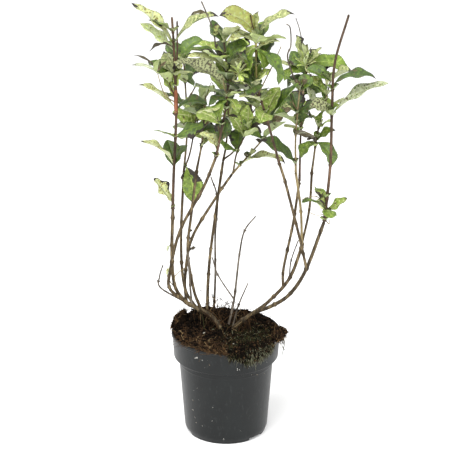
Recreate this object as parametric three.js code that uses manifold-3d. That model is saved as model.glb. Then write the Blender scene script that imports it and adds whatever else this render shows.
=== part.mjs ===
// A young flowering shrub of upright canes, in the round plastic pot that it was grown in.
// Millimetres, +Z up. The origin is the centre of the pot's flat underside, +X is to the
// right and +Y is away from the viewer.

import * as THREE from 'three';
import { mergeVertices } from 'three/addons/utils/BufferGeometryUtils.js';
import Module from 'manifold-3d';

const wasm = await Module();
wasm.setup();

// Driving dimensions
const GAP = 0.3; // between one piece and the next
const POT_HEIGHT = 147;
const LIP_RADIUS = 75;
const BAND_HEIGHT = 35; // the wide collar under the lip
const BAND_RADIUS = 72; // at the collar's lower edge
const BODY_RADIUS = 65.2; // of the body, just under the collar
const BASE_RADIUS = 55;
const FOOT_BEVEL = { width: 2.4, rise: 8 }; // from the flat underside out to the body
const WALL = 1.5;
const LIP_WIDTH = 2.4;
const FLOOR = 5.6; // top of the pot's floor
const FOOT_GROOVE = { inner: 21, outer: 47, depth: 4 };
const FOOT_NOTCHES = { count: 3, width: 25, height: 4.2, first: -42 };
const POT_SEGMENTS = 36;

const MIX_LEVEL = 145.5; // of the potting mix beside the stump
const MIX_RINGS = [12, 24, 36, 48, 60];
const MIX_SEGMENTS = 32;

const LIMB_STEP = 19; // roughly, along a limb
const LIMB_SIDES = 6;
const STEM_SIDES = 3;
const TWIG_GIRTH = [1.1, 0.8];
const LEAF_RIBS = 3; // steps from a leaf's root to its tip
const LEAF_HALF_WIDTH = 1.95; // times the root of its length, so that long leaves are slimmer
const LEAF_HALF_THICKNESS = 0.01; // of its length
const STALK = 0.07; // bare share of a leaf's length
const OWN_FOLD = 0.2; // how far the edges of a leaf that stands out are folded up
const ROOT = 1; // how far a leaf's root is sunk past its stem's middle
const ROOT_SHARE = 6; // cubic millimetres that leaves of one mass may share at their roots
const TURNS = [0, 20, -20, 40, -40, 65, -65, 95, -95]; // tried in turn to clear its neighbours
const SHRINKS = [1, 0.8, 0.62];

const COLOURS = {
  pot: 0x3c403e,
  mix: 0x2e211a,
  moss: 0x7c8254,
  bark: 0x6d4a33,
  deadwood: 0x5a4636,
  leaf: 0x6f9440,
};

const material = (color, roughness) => new THREE.MeshStandardMaterial({ color, roughness, metalness: 0 });
const MATERIALS = {
  pot: material(COLOURS.pot, 0.55),
  mix: material(COLOURS.mix, 0.95),
  moss: material(COLOURS.moss, 0.95),
  bark: material(COLOURS.bark, 0.8),
  deadwood: material(COLOURS.deadwood, 0.9),
  leaf: material(COLOURS.leaf, 0.6),
};

// Main limbs, canes and dead wood. Each starts inside the limb that it grows from, at that
// share of its run, and passes the listed places: elbow, waist and tip, as far as it has them.
// girth is its radius at foot and tip.
const LIMBS = [
  { name: 'left_limb', foot: [-7, 0, 149], girth: [3.3, 2.8], kind: 'bark',
    way: [[-19, 3, 165], [-36, 5, 176], [-57, 4, 188]] },
  { name: 'right_limb', foot: [10, -1, 150], girth: [3.2, 2.6], kind: 'bark',
    way: [[22, -6, 164], [39, -10, 179]] },
  { name: 'cane_left', from: 'left_limb', at: 0.98, girth: [2.4, 2.2], kind: 'bark',
    way: [[-70, 0, 214], [-73, -6, 265], [-71, -14, 331]] },
  { name: 'cane_front_left', from: 'left_limb', at: 0.93, girth: [2.3, 1.9], kind: 'bark',
    way: [[-76, -10, 213], [-75, -22, 245], [-61, -40, 309], [-30, -54, 374], [-13, -62, 420]] },
  { name: 'cane_inner_left', from: 'left_limb', at: 0.96, girth: [2.1, 1.8], kind: 'bark',
    way: [[-56, 18, 219], [-47, 30, 270], [-15, 44, 323], [8, 52, 356]] },
  { name: 'cane_back_left', from: 'left_limb', at: 0.76, girth: [2.1, 1.8], kind: 'bark',
    way: [[-57, 24, 201], [-62, 46, 255], [-58, 66, 353]] },
  { name: 'cane_middle_left', from: 'left_limb', at: 0.62, girth: [2.1, 1.8], kind: 'bark',
    way: [[-44, 6, 204], [-52, 8, 259], [-47, 12, 312], [-39, 20, 375]] },
  { name: 'cane_back', foot: [-26, 30, 140], girth: [2.3, 1.8], kind: 'bark',
    way: [[-25, 42, 200], [-19, 58, 262], [-4, 80, 365]] },
  { name: 'cane_right', from: 'right_limb', at: 0.97, girth: [2.7, 2.3], kind: 'bark',
    way: [[62, -24, 194], [86, -34, 216], [107, -38, 254], [130, -33, 320]] },
  { name: 'cane_right_inner', from: 'right_limb', at: 0.93, girth: [2.4, 2.3], kind: 'bark',
    way: [[60, 4, 190], [87, 14, 219], [105, 22, 268]] },
  { name: 'cane_right_near_fork', from: 'cane_right_inner', at: 0.97, girth: [1.7, 1.7], kind: 'bark',
    way: [[101, 18, 314], [93, 12, 373]] },
  { name: 'cane_right_far_fork', from: 'cane_right_inner', at: 0.93, girth: [1.6, 1.7], kind: 'bark',
    way: [[113, 34, 311], [116, 42, 364]] },
  { name: 'cane_back_right', from: 'cane_right_inner', at: 0.55, girth: [1.9, 1.8], kind: 'bark',
    way: [[79, 24, 231], [92, 42, 290], [100, 56, 345]] },
  { name: 'cane_front_right', from: 'cane_right', at: 0.75, girth: [1.9, 1.8], kind: 'bark',
    way: [[98, -46, 297], [79, -60, 376], [68, -67, 414]] },
  { name: 'dead_cane_back', foot: [-18, 50, 140], girth: [1.8, 0.9], kind: 'deadwood',
    way: [[-15, 62, 203], [-15, 75, 258], [-12, 86, 307], [-21, 92, 338]] },
  { name: 'dead_stub_left', from: 'left_limb', at: 0.84, girth: [1.5, 1.2], kind: 'deadwood',
    way: [[-49, -2, 215], [-51, -6, 265]] },
  { name: 'dead_twig_left', from: 'left_limb', at: 0.985, girth: [1.3, 0.8], kind: 'deadwood',
    way: [[-89, -4, 212], [-90, -6, 230], [-85, -8, 248]] },
  { name: 'dead_twig_middle', foot: [3, 6, 150], girth: [1.7, 0.9], kind: 'deadwood',
    way: [[11, 9, 189], [18, 14, 253], [25, 16, 287], [40, 20, 307]] },
  { name: 'dead_twig_inner', from: 'dead_twig_middle', at: 0.25, girth: [1, 0.8], kind: 'deadwood',
    way: [[-11, 16, 222], [-19, 20, 247]] },
  { name: 'dead_twig_low', foot: [9, 3, 150], girth: [1.3, 0.8], kind: 'deadwood',
    way: [[17, 1, 184], [30, -1, 218]] },
  { name: 'dead_twig_right', from: 'cane_right_inner', at: 0.66, girth: [1, 0.8], kind: 'deadwood',
    way: [[88, 2, 249], [97, -8, 283]] },
];

// Masses of foliage. Each has a stem that carries on its cane and leaves in opposite pairs,
// every pair turned a quarter from the one below. pairs are their places along the stem and
// turn is the first one's heading, in degrees from +X. leaf is their length, and lost is the
// share of them that fell. twigs are side shoots: [at, heading, rise, length]. own are the
// leaves that stand out of the crown: [at, right, back, up, droop, roll], with the tip's place
// as seen from the leaf's root and the angle by which the leaf bends down on the way there.
const MASSES = [
  { name: 'foliage_left', from: 'cane_left', girth: [2.1, 1.4], seed: 11, turn: 20, leaf: 46, lost: 0.1,
    way: [[-69, -18, 384], [-65, -24, 467], [-67, -27, 552], [-69, -28, 596]],
    pairs: [0.4, 0.64, 0.87], twigs: [[0.55, 168, 70, 28]],
    own: [[0.04, -26, 4, 34, 5, -15], [0.27, -9, 18, 34, 50, 0], [0.27, 14, 15, 29, 50, 0],
      [0.28, -46, 2, 38, 60, 0], [0.52, -49, 2, 33, 25, 5], [0.51, 41, -7, 11, 80, 10],
      [0.56, -18, 10, 26, -10, 10], [0.59, 3, 5, 36, -15, -25], [0.77, -55, 4, 55, 40, -5],
      [0.75, -44, 8, 34, 5, -5], [0.76, -35, -7, 1, 105, 10], [0.78, 58, -6, 42, 60, 5]] },
  { name: 'foliage_front_left', from: 'cane_front_left', girth: [1.8, 1], seed: 69, turn: 150, leaf: 48,
    lost: 0.1,
    way: [[-4, -68, 469], [2, -72, 513], [-3, -70, 580]],
    pairs: [0.3, 0.46, 0.6, 0.74, 0.97], twigs: [[0.6, 10, 55, 20], [0.78, 150, 60, 20]],
    own: [[0.04, -23, 4, 25, 85, -5], [0.14, 9, 13, 30, -15, 30], [0.57, -24, 0, -9, 105, -10],
      [0.58, -14, -17, -19, 80, 15], [0.59, 13, -16, -14, 85, -15], [0.63, 30, -5, 7, 75, -45],
      [0.66, -65, -11, 42, 55, 40], [0.82, -50, 7, 13, 40, -5], [0.82, -33, -9, 26, 20, 20],
      [0.9, -36, 2, 13, 40, -5], [0.85, 27, -8, 26, 80, 35], [0.8, 30, 5, 15, 35, 5]] },
  { name: 'foliage_back_left', from: 'cane_back_left', girth: [1.6, 1], seed: 45, turn: 60, leaf: 52,
    lost: 0.1,
    way: [[-53, 76, 418], [-57, 84, 507]],
    pairs: [0.46, 0.64, 0.83, 0.98], twigs: [[0.7, 20, 55, 24]],
    own: [[0.99, 26, 5, 29, 105, 20]] },
  { name: 'foliage_back_left_shoot', from: 'foliage_back_left', at: 0.03, girth: [1.3, 0.9], seed: 97,
    turn: 40, leaf: 42, lost: 0.1,
    way: [[-48, 54, 390], [-38, 46, 452]],
    pairs: [0.67, 0.97], twigs: [[0.75, 60, 50, 18]],
    own: [[0.12, 11, -14, -50, 60, 30], [0.78, -7, 1, 23, 0, -5], [0.77, 32, -6, 18, 5, 20],
      [0.98, 22, -13, -13, 115, -5]] },
  { name: 'foliage_inner_left', from: 'cane_inner_left', girth: [1.5, 1], seed: 54, turn: 0, leaf: 46,
    lost: 0.15,
    way: [[34, 60, 384], [64, 68, 417]],
    pairs: [0.76, 0.97], twigs: [],
    own: [[0.23, 63, -9, 5, 75, -5], [0.38, 14, -8, 14, -5, 30], [0.96, 27, -5, 32, 45, 25]] },
  { name: 'foliage_inner_left_shoot', from: 'foliage_inner_left', at: 0.03, girth: [1.3, 0.9], seed: 54,
    turn: 60, leaf: 46, lost: 0.15,
    way: [[15, 45, 390], [31, 36, 428]],
    pairs: [0.5, 0.8], twigs: [],
    own: [[0.9, 2, 2, 39, -15, 0]] },
  { name: 'foliage_middle_left', from: 'cane_middle_left', girth: [1.6, 0.9], seed: 88, turn: 40,
    leaf: 42, lost: 0.2,
    way: [[-32, 24, 414], [-27, 26, 478]],
    pairs: [0.4, 0.53, 0.74, 0.97], twigs: [[0.66, -40, 50, 20]],
    own: [] },
  { name: 'foliage_back', from: 'cane_back', girth: [1.6, 0.9], seed: 12, turn: 0, leaf: 50, lost: 0.1,
    way: [[1, 86, 396], [5, 96, 476], [8, 98, 505]],
    pairs: [0.25, 0.42, 0.6, 0.8, 0.98], twigs: [[0.5, 110, 55, 22], [0.68, -60, 55, 26]],
    own: [] },
  { name: 'foliage_back_shoot', from: 'foliage_back', at: 0.02, girth: [1.3, 0.9], seed: 4, turn: 130,
    leaf: 46, lost: 0.1,
    way: [[14, 92, 381], [33, 106, 430], [38, 108, 452]],
    pairs: [0.54, 0.76, 0.98], twigs: [[0.6, -20, 50, 20]],
    own: [[0.91, -7, 4, 30, 30, 5], [0.78, 22, -8, -27, 45, 10]] },
  { name: 'foliage_right_near', from: 'cane_right_near_fork', girth: [1.5, 0.9], seed: 96, turn: 120,
    leaf: 46, lost: 0.15,
    way: [[92, 6, 427], [96, -2, 492]],
    pairs: [0.5, 0.62, 0.74, 0.98], twigs: [],
    own: [[0.12, -49, -5, 36, 35, -20]] },
  { name: 'foliage_right_far', from: 'cane_right_far_fork', girth: [1.5, 0.9], seed: 14, turn: 110,
    leaf: 46, lost: 0.12,
    way: [[124, 50, 420], [140, 58, 488]],
    pairs: [0.52, 0.68, 0.84, 0.98], twigs: [],
    own: [[0.37, 26, -4, 18, 40, 15], [0.36, 22, -8, -32, 85, 20], [0.35, -20, -7, -19, 95, -10],
      [0.38, -14, -12, 4, 65, 0], [0.69, -6, -9, -15, 30, 30], [0.8, -9, 10, 26, -10, 15]] },
  { name: 'foliage_back_right', from: 'cane_back_right', girth: [1.6, 1], seed: 73, turn: 40, leaf: 48,
    lost: 0.1,
    way: [[102, 68, 428], [109, 78, 504]],
    pairs: [0.42, 0.55, 0.72, 0.9], twigs: [[0.8, 100, 60, 22]],
    own: [[0.97, -16, -9, 48, -15, -50], [0.98, 1, -1, 32, 15, 60], [0.99, 20, 4, 24, 10, 5],
      [0.99, 58, 6, -8, 55, 25], [0.94, 27, -10, -19, 125, 0], [0.91, -30, -5, -8, 125, -10],
      [0.85, -24, 4, -13, 125, -15], [0.84, -10, -14, -36, 25, 35], [0.81, 1, -1, -39, 125, -15]] },
  { name: 'foliage_front_right', from: 'cane_front_right', girth: [1.6, 1.2], seed: 46, turn: 100,
    leaf: 50, lost: 0.1,
    way: [[51, -78, 479], [39, -84, 523], [37, -86, 587]],
    pairs: [0.36, 0.49, 0.66, 0.8, 0.95], twigs: [[0.54, -140, 50, 22], [0.86, 60, 60, 20]],
    own: [[0.97, -46, -5, 35, 90, -35], [0.95, -37, 4, -3, 125, -10], [0.99, 2, 2, 34, -15, -25],
      [1, 48, -3, 31, 45, 5], [0.91, 31, 8, 9, 55, -5], [0.91, 29, -10, -43, 90, 5],
      [0.92, 10, -8, -25, 85, 0], [0.71, 18, 3, 13, -15, 10], [0.93, -7, -6, -35, 55, 20],
      [0.32, 17, 10, 39, 45, 15], [0.29, 39, -7, 54, 10, 15]] },
  { name: 'foliage_right', from: 'cane_right', girth: [2.1, 1.6], seed: 73, turn: 100, leaf: 40,
    lost: 0.3,
    way: [[137, -22, 395], [138, -14, 468], [141, -8, 531], [158, 0, 592]],
    pairs: [0.05, 0.25, 0.47], twigs: [[0.03, 120, 60, 14]],
    own: [[0.63, 57, -4, 11, 60, 5], [0.48, 73, -5, 44, 35, 5], [0.47, -30, -8, 15, 100, -25],
      [0.04, 30, -6, 22, -5, 15], [0.04, -14, -4, 17, 60, -30], [0.05, -13, 2, 27, 50, -10]] },
];

// Repeatable draws between 0 and 1
function draws(seed) {
  let state = seed * 7919 + 1;
  return () => {
    state = (state * 48271) % 2147483647;
    return state / 2147483647;
  };
}

const mix = (a, b, share) => a + (b - a) * share;
const radians = THREE.MathUtils.degToRad;
const degrees = THREE.MathUtils.radToDeg;
const vector = (place) => new THREE.Vector3(...place);

// A closed geometry as a solid, which can be joined and cut
function solid(geometry) {
  const bare = new THREE.BufferGeometry();
  bare.setAttribute('position', geometry.attributes.position);
  if (geometry.index) bare.setIndex(geometry.index);
  const closed = mergeVertices(bare, 1e-3);
  const vertProperties = new Float32Array(closed.attributes.position.array);
  const triVerts = new Uint32Array(closed.index.array).filter((v, i, all) => {
    const first = i - (i % 3);
    const corners = new Set([all[first], all[first + 1], all[first + 2]]);
    return corners.size === 3;
  });
  return new wasm.Manifold(new wasm.Mesh({ numProp: 3, vertProperties, triVerts }));
}

// A solid as a named mesh
function mesh(name, body, kind) {
  const { vertProperties, triVerts } = body.getMesh();
  const geometry = new THREE.BufferGeometry();
  geometry.setAttribute('position', new THREE.BufferAttribute(vertProperties, 3));
  geometry.setIndex(new THREE.BufferAttribute(triVerts, 1));
  geometry.computeVertexNormals();
  const piece = new THREE.Mesh(geometry, MATERIALS[kind]);
  piece.name = name;
  return piece;
}

// Moves each vertex of a geometry to where place puts it
function moulded(geometry, place) {
  const at = geometry.attributes.position;
  for (let i = 0; i < at.count; i++) {
    const p = place(new THREE.Vector3().fromBufferAttribute(at, i));
    at.setXYZ(i, p.x, p.y, p.z);
  }
  return geometry;
}

// The main part of a solid, without loose scraps and with any sealed hollow filled
function largest(body) {
  return body.decompose().sort((a, b) => b.volume() - a.volume())[0];
}

// The pot: body, wide collar and lip, with a grooved foot that is notched for drainage
function pot() {
  const bandFoot = POT_HEIGHT - BAND_HEIGHT;
  const profile = [
    [0, 0],
    [FOOT_GROOVE.inner, 0],
    [FOOT_GROOVE.inner + 1, FOOT_GROOVE.depth],
    [FOOT_GROOVE.outer - 1, FOOT_GROOVE.depth],
    [FOOT_GROOVE.outer, 0],
    [BASE_RADIUS - 1, 0],
    [BASE_RADIUS, 1.2],
    [BASE_RADIUS + FOOT_BEVEL.width, FOOT_BEVEL.rise],
    [BODY_RADIUS, bandFoot],
    [BAND_RADIUS - 0.8, bandFoot + 0.4],
    [BAND_RADIUS, bandFoot + 1.4],
    [LIP_RADIUS - 1, POT_HEIGHT - 5],
    [LIP_RADIUS, POT_HEIGHT - 4],
    [LIP_RADIUS, POT_HEIGHT - 0.8],
    [LIP_RADIUS - 0.8, POT_HEIGHT],
    [LIP_RADIUS - LIP_WIDTH, POT_HEIGHT],
    [BAND_RADIUS - WALL, bandFoot + 3],
    [BODY_RADIUS - WALL, bandFoot + 1],
    [BASE_RADIUS, FLOOR],
    [0, FLOOR],
  ];
  const outline = profile.map(([r, z]) => new THREE.Vector2(r, z));
  const lathe = new THREE.LatheGeometry(outline, POT_SEGMENTS).rotateX(Math.PI / 2);
  let body = solid(lathe);
  for (let k = 0; k < FOOT_NOTCHES.count; k++) {
    const heading = radians(FOOT_NOTCHES.first) + (k * 2 * Math.PI) / FOOT_NOTCHES.count;
    const reach = BASE_RADIUS - FOOT_GROOVE.outer + 6;
    const notch = new THREE.BoxGeometry(reach, FOOT_NOTCHES.width, FOOT_NOTCHES.height * 2);
    notch.translate(FOOT_GROOVE.outer - 3 + reach / 2, 0, 0).rotateZ(heading);
    body = body.subtract(solid(notch));
  }
  return body;
}

// Height of the potting mix: a mound to the back left, low at the front, and lumps all over
function mixHeight(x, y) {
  const mound = 9 * Math.exp(-((x + 34) ** 2 + (y - 40) ** 2) / 1300);
  const stump = 5 * Math.exp(-((x - 2) ** 2 + y ** 2) / 260);
  const lumps = 1.5 * Math.sin(x * 0.23 + 1.3) * Math.cos(y * 0.19) + Math.sin(x * 0.11 - y * 0.31);
  return MIX_LEVEL + mound + stump + lumps;
}

// The block of potting mix that fills the pot, with its uneven top
function pottingMix() {
  const bandFoot = POT_HEIGHT - BAND_HEIGHT;
  const rim = BAND_RADIUS + 0.1;
  const base = [
    [0, FLOOR + GAP],
    [BASE_RADIUS - GAP - 0.2, FLOOR + GAP],
    [BODY_RADIUS - WALL - GAP - 0.2, bandFoot + 1],
    [BAND_RADIUS - WALL - GAP - 0.2, bandFoot + 3.6],
    [rim - 0.4, POT_HEIGHT - 4],
  ];
  const top = MIX_RINGS.map((r) => [r, POT_HEIGHT]).reverse();
  const profile = [...base, ...top, [0, POT_HEIGHT]].map(([r, z]) => new THREE.Vector2(r, z));
  const block = new THREE.LatheGeometry(profile, MIX_SEGMENTS).rotateX(Math.PI / 2);
  return solid(moulded(block, (p) => {
    if (p.z > POT_HEIGHT - 1) p.z = mixHeight(p.x, p.y);
    return p;
  }));
}

// A tuft of moss or bark that lies over the lip. Its section runs from the mix, up over the lip
// and down outside, and it is swept round the pot between two headings.
const SPILLS = [
  { name: 'moss_over_lip', kind: 'moss', from: -88, to: -34, inner: 50, top: 7, reach: 5, drop: 15,
    seed: 3 },
  { name: 'bark_over_lip', kind: 'mix', from: -26, to: 6, inner: 60, top: 6, reach: 8, drop: 2, seed: 5 },
  { name: 'bark_on_lip', kind: 'mix', from: 142, to: 172, inner: 58, top: 10, reach: 1, drop: 0.5,
    seed: 8 },
];
const SPILL_STEPS = 7;

function spill(tuft) {
  const draw = draws(tuft.seed);
  const rough = Array.from({ length: SPILL_STEPS + 1 }, () => 0.75 + 0.5 * draw());
  const sides = 10;
  const tube = new THREE.CylinderGeometry(1, 1, 1, sides, SPILL_STEPS);
  return solid(moulded(tube, (p) => {
    const share = p.y + 0.5;
    const swell = rough[Math.round(share * SPILL_STEPS)] * Math.sin(Math.PI * mix(0.12, 0.88, share));
    const heading = radians(mix(tuft.from, tuft.to, share));
    const ways = [Math.cos(heading), Math.sin(heading)];
    const inner = mix(LIP_RADIUS - 4, tuft.inner, swell);
    const level = mixHeight(inner * ways[0], inner * ways[1]);
    const edge = mixHeight((LIP_RADIUS - 5) * ways[0], (LIP_RADIUS - 5) * ways[1]);
    const crest = Math.max(POT_HEIGHT, edge, level);
    const section = [
      [inner, level - 1],
      [LIP_RADIUS - 4, edge - 1],
      [LIP_RADIUS - LIP_WIDTH - GAP, POT_HEIGHT + GAP],
      [LIP_RADIUS + GAP, POT_HEIGHT + GAP],
      [LIP_RADIUS + GAP, POT_HEIGHT - 0.5 - tuft.drop * swell],
      [LIP_RADIUS + 1.5, POT_HEIGHT - 1.5 - tuft.drop * swell],
      [LIP_RADIUS + 1 + tuft.reach * swell, POT_HEIGHT - tuft.drop * swell * 0.4],
      [LIP_RADIUS + tuft.reach * swell * 0.7, crest + tuft.top * swell * 0.6],
      [LIP_RADIUS - 5, crest + 0.8 + tuft.top * swell],
      [mix(inner, LIP_RADIUS, 0.35), crest + 0.6 + tuft.top * swell * 0.7],
    ];
    const turned = Math.round((Math.atan2(p.x, p.z) / (2 * Math.PI)) * sides);
    const corner = (sides - turned) % sides;
    const middle = [LIP_RADIUS - 3, crest + 1.2];
    const [r, z] = p.x ** 2 + p.z ** 2 < 0.1 ? middle : section[corner];
    return new THREE.Vector3(r * ways[0], r * ways[1], z);
  }));
}

// The run of a limb as a smooth curve through its foot and the places that it passes
const runs = {};
function run(limb) {
  const foot = limb.foot ? vector(limb.foot) : runs[limb.from].getPoint(limb.at ?? 1);
  return new THREE.CatmullRomCurve3([foot, ...limb.way.map(vector)], false, 'catmullrom', 0.5);
}

// A tapering round limb along its run. grow makes it thicker and longer, to cut others with.
function limbSolid(curve, girth, sides, grow = 0) {
  const steps = Math.max(3, Math.round(curve.getLength() / LIMB_STEP));
  const tube = new THREE.CylinderGeometry(1, 1, 1, sides, steps);
  return solid(moulded(tube, (p) => {
    const share = p.y + 0.5;
    const along = curve.getTangent(share);
    const across = new THREE.Vector3(0, 1, 0).cross(along).normalize();
    const up = across.clone().cross(along);
    const radius = mix(girth[0], girth[1], share) + grow;
    const ends = share === 0 ? -grow : share === 1 ? grow : 0;
    return curve.getPoint(share)
      .addScaledVector(along, ends)
      .addScaledVector(across, p.x * radius)
      .addScaledVector(up, p.z * radius);
  }));
}

// Half the blade's width at a share of the leaf's length: a stalk, an egg shape, a drawn-out tip
function leafHalfWidth(share, leaf) {
  const blade = THREE.MathUtils.clamp((share - STALK) / (1 - STALK), 0, 1);
  const egg = Math.sin(Math.PI * blade ** 1.15) ** 0.8;
  return 0.5 + Math.sqrt(leaf.length) * LEAF_HALF_WIDTH * leaf.broad * egg;
}

// The midrib's places, each with the ways along it, across the blade and up from it
function midrib(leaf) {
  const ribs = [];
  const step = leaf.length / LEAF_RIBS;
  const frame = (share) => {
    const rise = radians(leaf.rise - leaf.droop * share);
    const heading = radians(leaf.heading + leaf.swing * share);
    const roll = radians(leaf.roll);
    const along = new THREE.Vector3(
      Math.cos(rise) * Math.cos(heading), Math.cos(rise) * Math.sin(heading), Math.sin(rise));
    const level = new THREE.Vector3(-Math.sin(heading), Math.cos(heading), 0);
    const above = along.clone().cross(level);
    const across = level.clone().multiplyScalar(Math.cos(roll)).addScaledVector(above, Math.sin(roll));
    return { along, across, up: along.clone().cross(across) };
  };
  const place = leaf.base.clone().addScaledVector(frame(0).along, -ROOT);
  for (let k = 0; k <= LEAF_RIBS; k++) {
    ribs.push({ place: place.clone(), ...frame(k / LEAF_RIBS) });
    place.addScaledVector(frame((k + 0.5) / LEAF_RIBS).along, step);
  }
  return ribs;
}

// One leaf: a lens-shaped section swept along the midrib, with its edges folded up or down. Its two
// faces are split along the same diagonals, so that they never pass through each other.
function leafSolid(leaf) {
  const ribs = midrib(leaf);
  const corners = [ribs[0].place];
  for (let k = 1; k < LEAF_RIBS; k++) {
    const { place, across, up } = ribs[k];
    const half = leafHalfWidth(k / LEAF_RIBS, leaf);
    const edge = place.clone().addScaledVector(up, leaf.fold * half);
    const thick = leaf.length * LEAF_HALF_THICKNESS;
    corners.push(edge.clone().addScaledVector(across, half), place.clone().addScaledVector(up, thick));
    corners.push(edge.clone().addScaledVector(across, -half), place.clone().addScaledVector(up, -thick));
  }
  corners.push(ribs[LEAF_RIBS].place);
  const tip = corners.length - 1;
  const corner = (k, j) => 4 * (k - 1) + 1 + (j % 4);
  const triangles = [];
  for (let j = 0; j < 4; j++) {
    triangles.push(0, corner(1, j + 1), corner(1, j));
    triangles.push(tip, corner(LEAF_RIBS - 1, j), corner(LEAF_RIBS - 1, j + 1));
    for (let k = 1; k < LEAF_RIBS - 1; k++) {
      const [a, b, c, d] = [corner(k, j), corner(k, j + 1), corner(k + 1, j + 1), corner(k + 1, j)];
      if (j < 2) triangles.push(a, b, c, a, c, d);
      else triangles.push(a, b, d, b, c, d);
    }
  }
  const geometry = new THREE.BufferGeometry().setFromPoints(corners);
  return solid(geometry.setIndex(triangles));
}

const parts = new THREE.Group();
const standing = []; // every solid so far, with its node's name, to keep others clear of it

// Whether a solid of the named node keeps clear of the others, and of its own past their roots
function clearOf(body, name) {
  const a = body.boundingBox();
  return standing.every((other) => {
    const b = other.body.boundingBox();
    const apart = [0, 1, 2].some((i) => a.min[i] > b.max[i] || b.min[i] > a.max[i]);
    if (apart) return true;
    const shared = body.intersect(other.body);
    return other.name === name ? shared.volume() < ROOT_SHARE : shared.isEmpty();
  });
}

// A limb, cut clear of those that stand already, and kept as one whole piece
function growLimb(limb, sides) {
  runs[limb.name] = run(limb);
  let body = limbSolid(runs[limb.name], limb.girth, sides);
  for (const other of standing) body = body.subtract(other.body);
  body = largest(body);
  standing.push({ name: limb.name, body: limbSolid(runs[limb.name], limb.girth, sides, GAP) });
  return body;
}

// Fuses a leaf on if it clears its neighbours as it is, turned or smaller, and else leaves it out
function addLeaf(mass, leaf) {
  for (const shrink of SHRINKS) {
    for (const turn of TURNS) {
      const tried = { ...leaf, heading: leaf.heading + turn, length: leaf.length * shrink };
      const body = leafSolid(tried);
      if (!clearOf(body, mass.name)) continue;
      standing.push({ name: mass.name, body });
      mass.body = mass.body.add(body);
      return;
    }
  }
}

// A leaf that stands out, bent evenly from its root to its tip
function ownLeaf(mass, [at, right, back, up, droop, roll]) {
  const level = Math.hypot(right, back);
  const bend = radians(droop) / 2;
  addLeaf(mass, {
    base: runs[mass.name].getPoint(at),
    heading: degrees(Math.atan2(back, right)),
    rise: degrees(Math.atan2(up, level)) + droop / 2,
    droop,
    length: Math.hypot(level, up) * (bend === 0 ? 1 : bend / Math.sin(bend)),
    roll,
    broad: 1,
    swing: 0,
    fold: OWN_FOLD,
  });
}

// A leaf of an ordinary pair, lower and more drooping down the stem
function pairLeaf(mass, base, heading, height) {
  const draw = mass.draw;
  const kept = draw() >= mass.lost;
  const leaf = {
    base,
    heading: heading + mix(-25, 25, draw()),
    rise: mix(25, 55, height) + mix(-15, 15, draw()),
    droop: mix(75, 35, height) * mix(0.4, 1.2, draw()),
    length: mass.leaf * mix(0.75, 1.1, draw()) * mix(1, 0.75, height ** 3),
    broad: mix(0.8, 1.15, draw()),
    swing: mix(-25, 25, draw()),
    roll: mix(-35, 35, draw()),
    fold: mix(-0.15, 0.4, draw()),
  };
  if (kept) addLeaf(mass, leaf);
}

// A short side shoot with a pair of small leaves and one at its tip
function addTwig(mass, [at, heading, rise, length]) {
  const foot = runs[mass.name].getPoint(at);
  const level = length * Math.cos(radians(rise));
  const tip = new THREE.Vector3(
    Math.cos(radians(heading)) * level, Math.sin(radians(heading)) * level,
    Math.sin(radians(rise)) * length).add(foot);
  const middle = foot.clone().lerp(tip, 0.5).add(new THREE.Vector3(0, 0, -0.06 * length));
  const curve = new THREE.CatmullRomCurve3([foot, middle, tip], false, 'catmullrom', 0.5);
  const body = limbSolid(curve, TWIG_GIRTH, STEM_SIDES);
  if (!clearOf(body, mass.name)) return;
  standing.push({ name: mass.name, body });
  mass.body = mass.body.add(body);
  const bud = curve.getPoint(0.9);
  for (const turn of [0, 85, -85]) pairLeaf(mass, bud, heading + turn, 0.6);
}

for (const limb of LIMBS) parts.add(mesh(limb.name, growLimb(limb, LIMB_SIDES), limb.kind));

const masses = MASSES.map((mass) => ({ ...mass, body: growLimb(mass, STEM_SIDES), draw: draws(mass.seed) }));
for (const mass of masses) {
  for (const leaf of mass.own) ownLeaf(mass, leaf);
}
for (const mass of masses) {
  for (const twig of mass.twigs) addTwig(mass, twig);
  mass.pairs.forEach((at, k) => {
    const base = runs[mass.name].getPoint(at);
    const heading = mass.turn + 90 * k;
    pairLeaf(mass, base, heading, at);
    pairLeaf(mass, base, heading + 180, at);
  });
  parts.add(mesh(mass.name, largest(mass.body), 'leaf'));
}

parts.add(mesh('pot', pot(), 'pot'));
let earth = pottingMix();
for (const { name, body } of standing) {
  if (!name.startsWith('foliage')) earth = earth.subtract(body);
}
parts.add(mesh('potting_mix', largest(earth), 'mix'));
const covered = earth.translate([0, 0, GAP]);
for (const tuft of SPILLS) {
  parts.add(mesh(tuft.name, largest(spill(tuft).subtract(covered)), tuft.kind));
}

export default parts;
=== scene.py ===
# A young potted shrub: bare canes, leafy tops and a few dead twigs, in a round plastic pot.
# Sizes and places are millimetres in the frame's axes, and the meshes are made in metres.

import math

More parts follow.
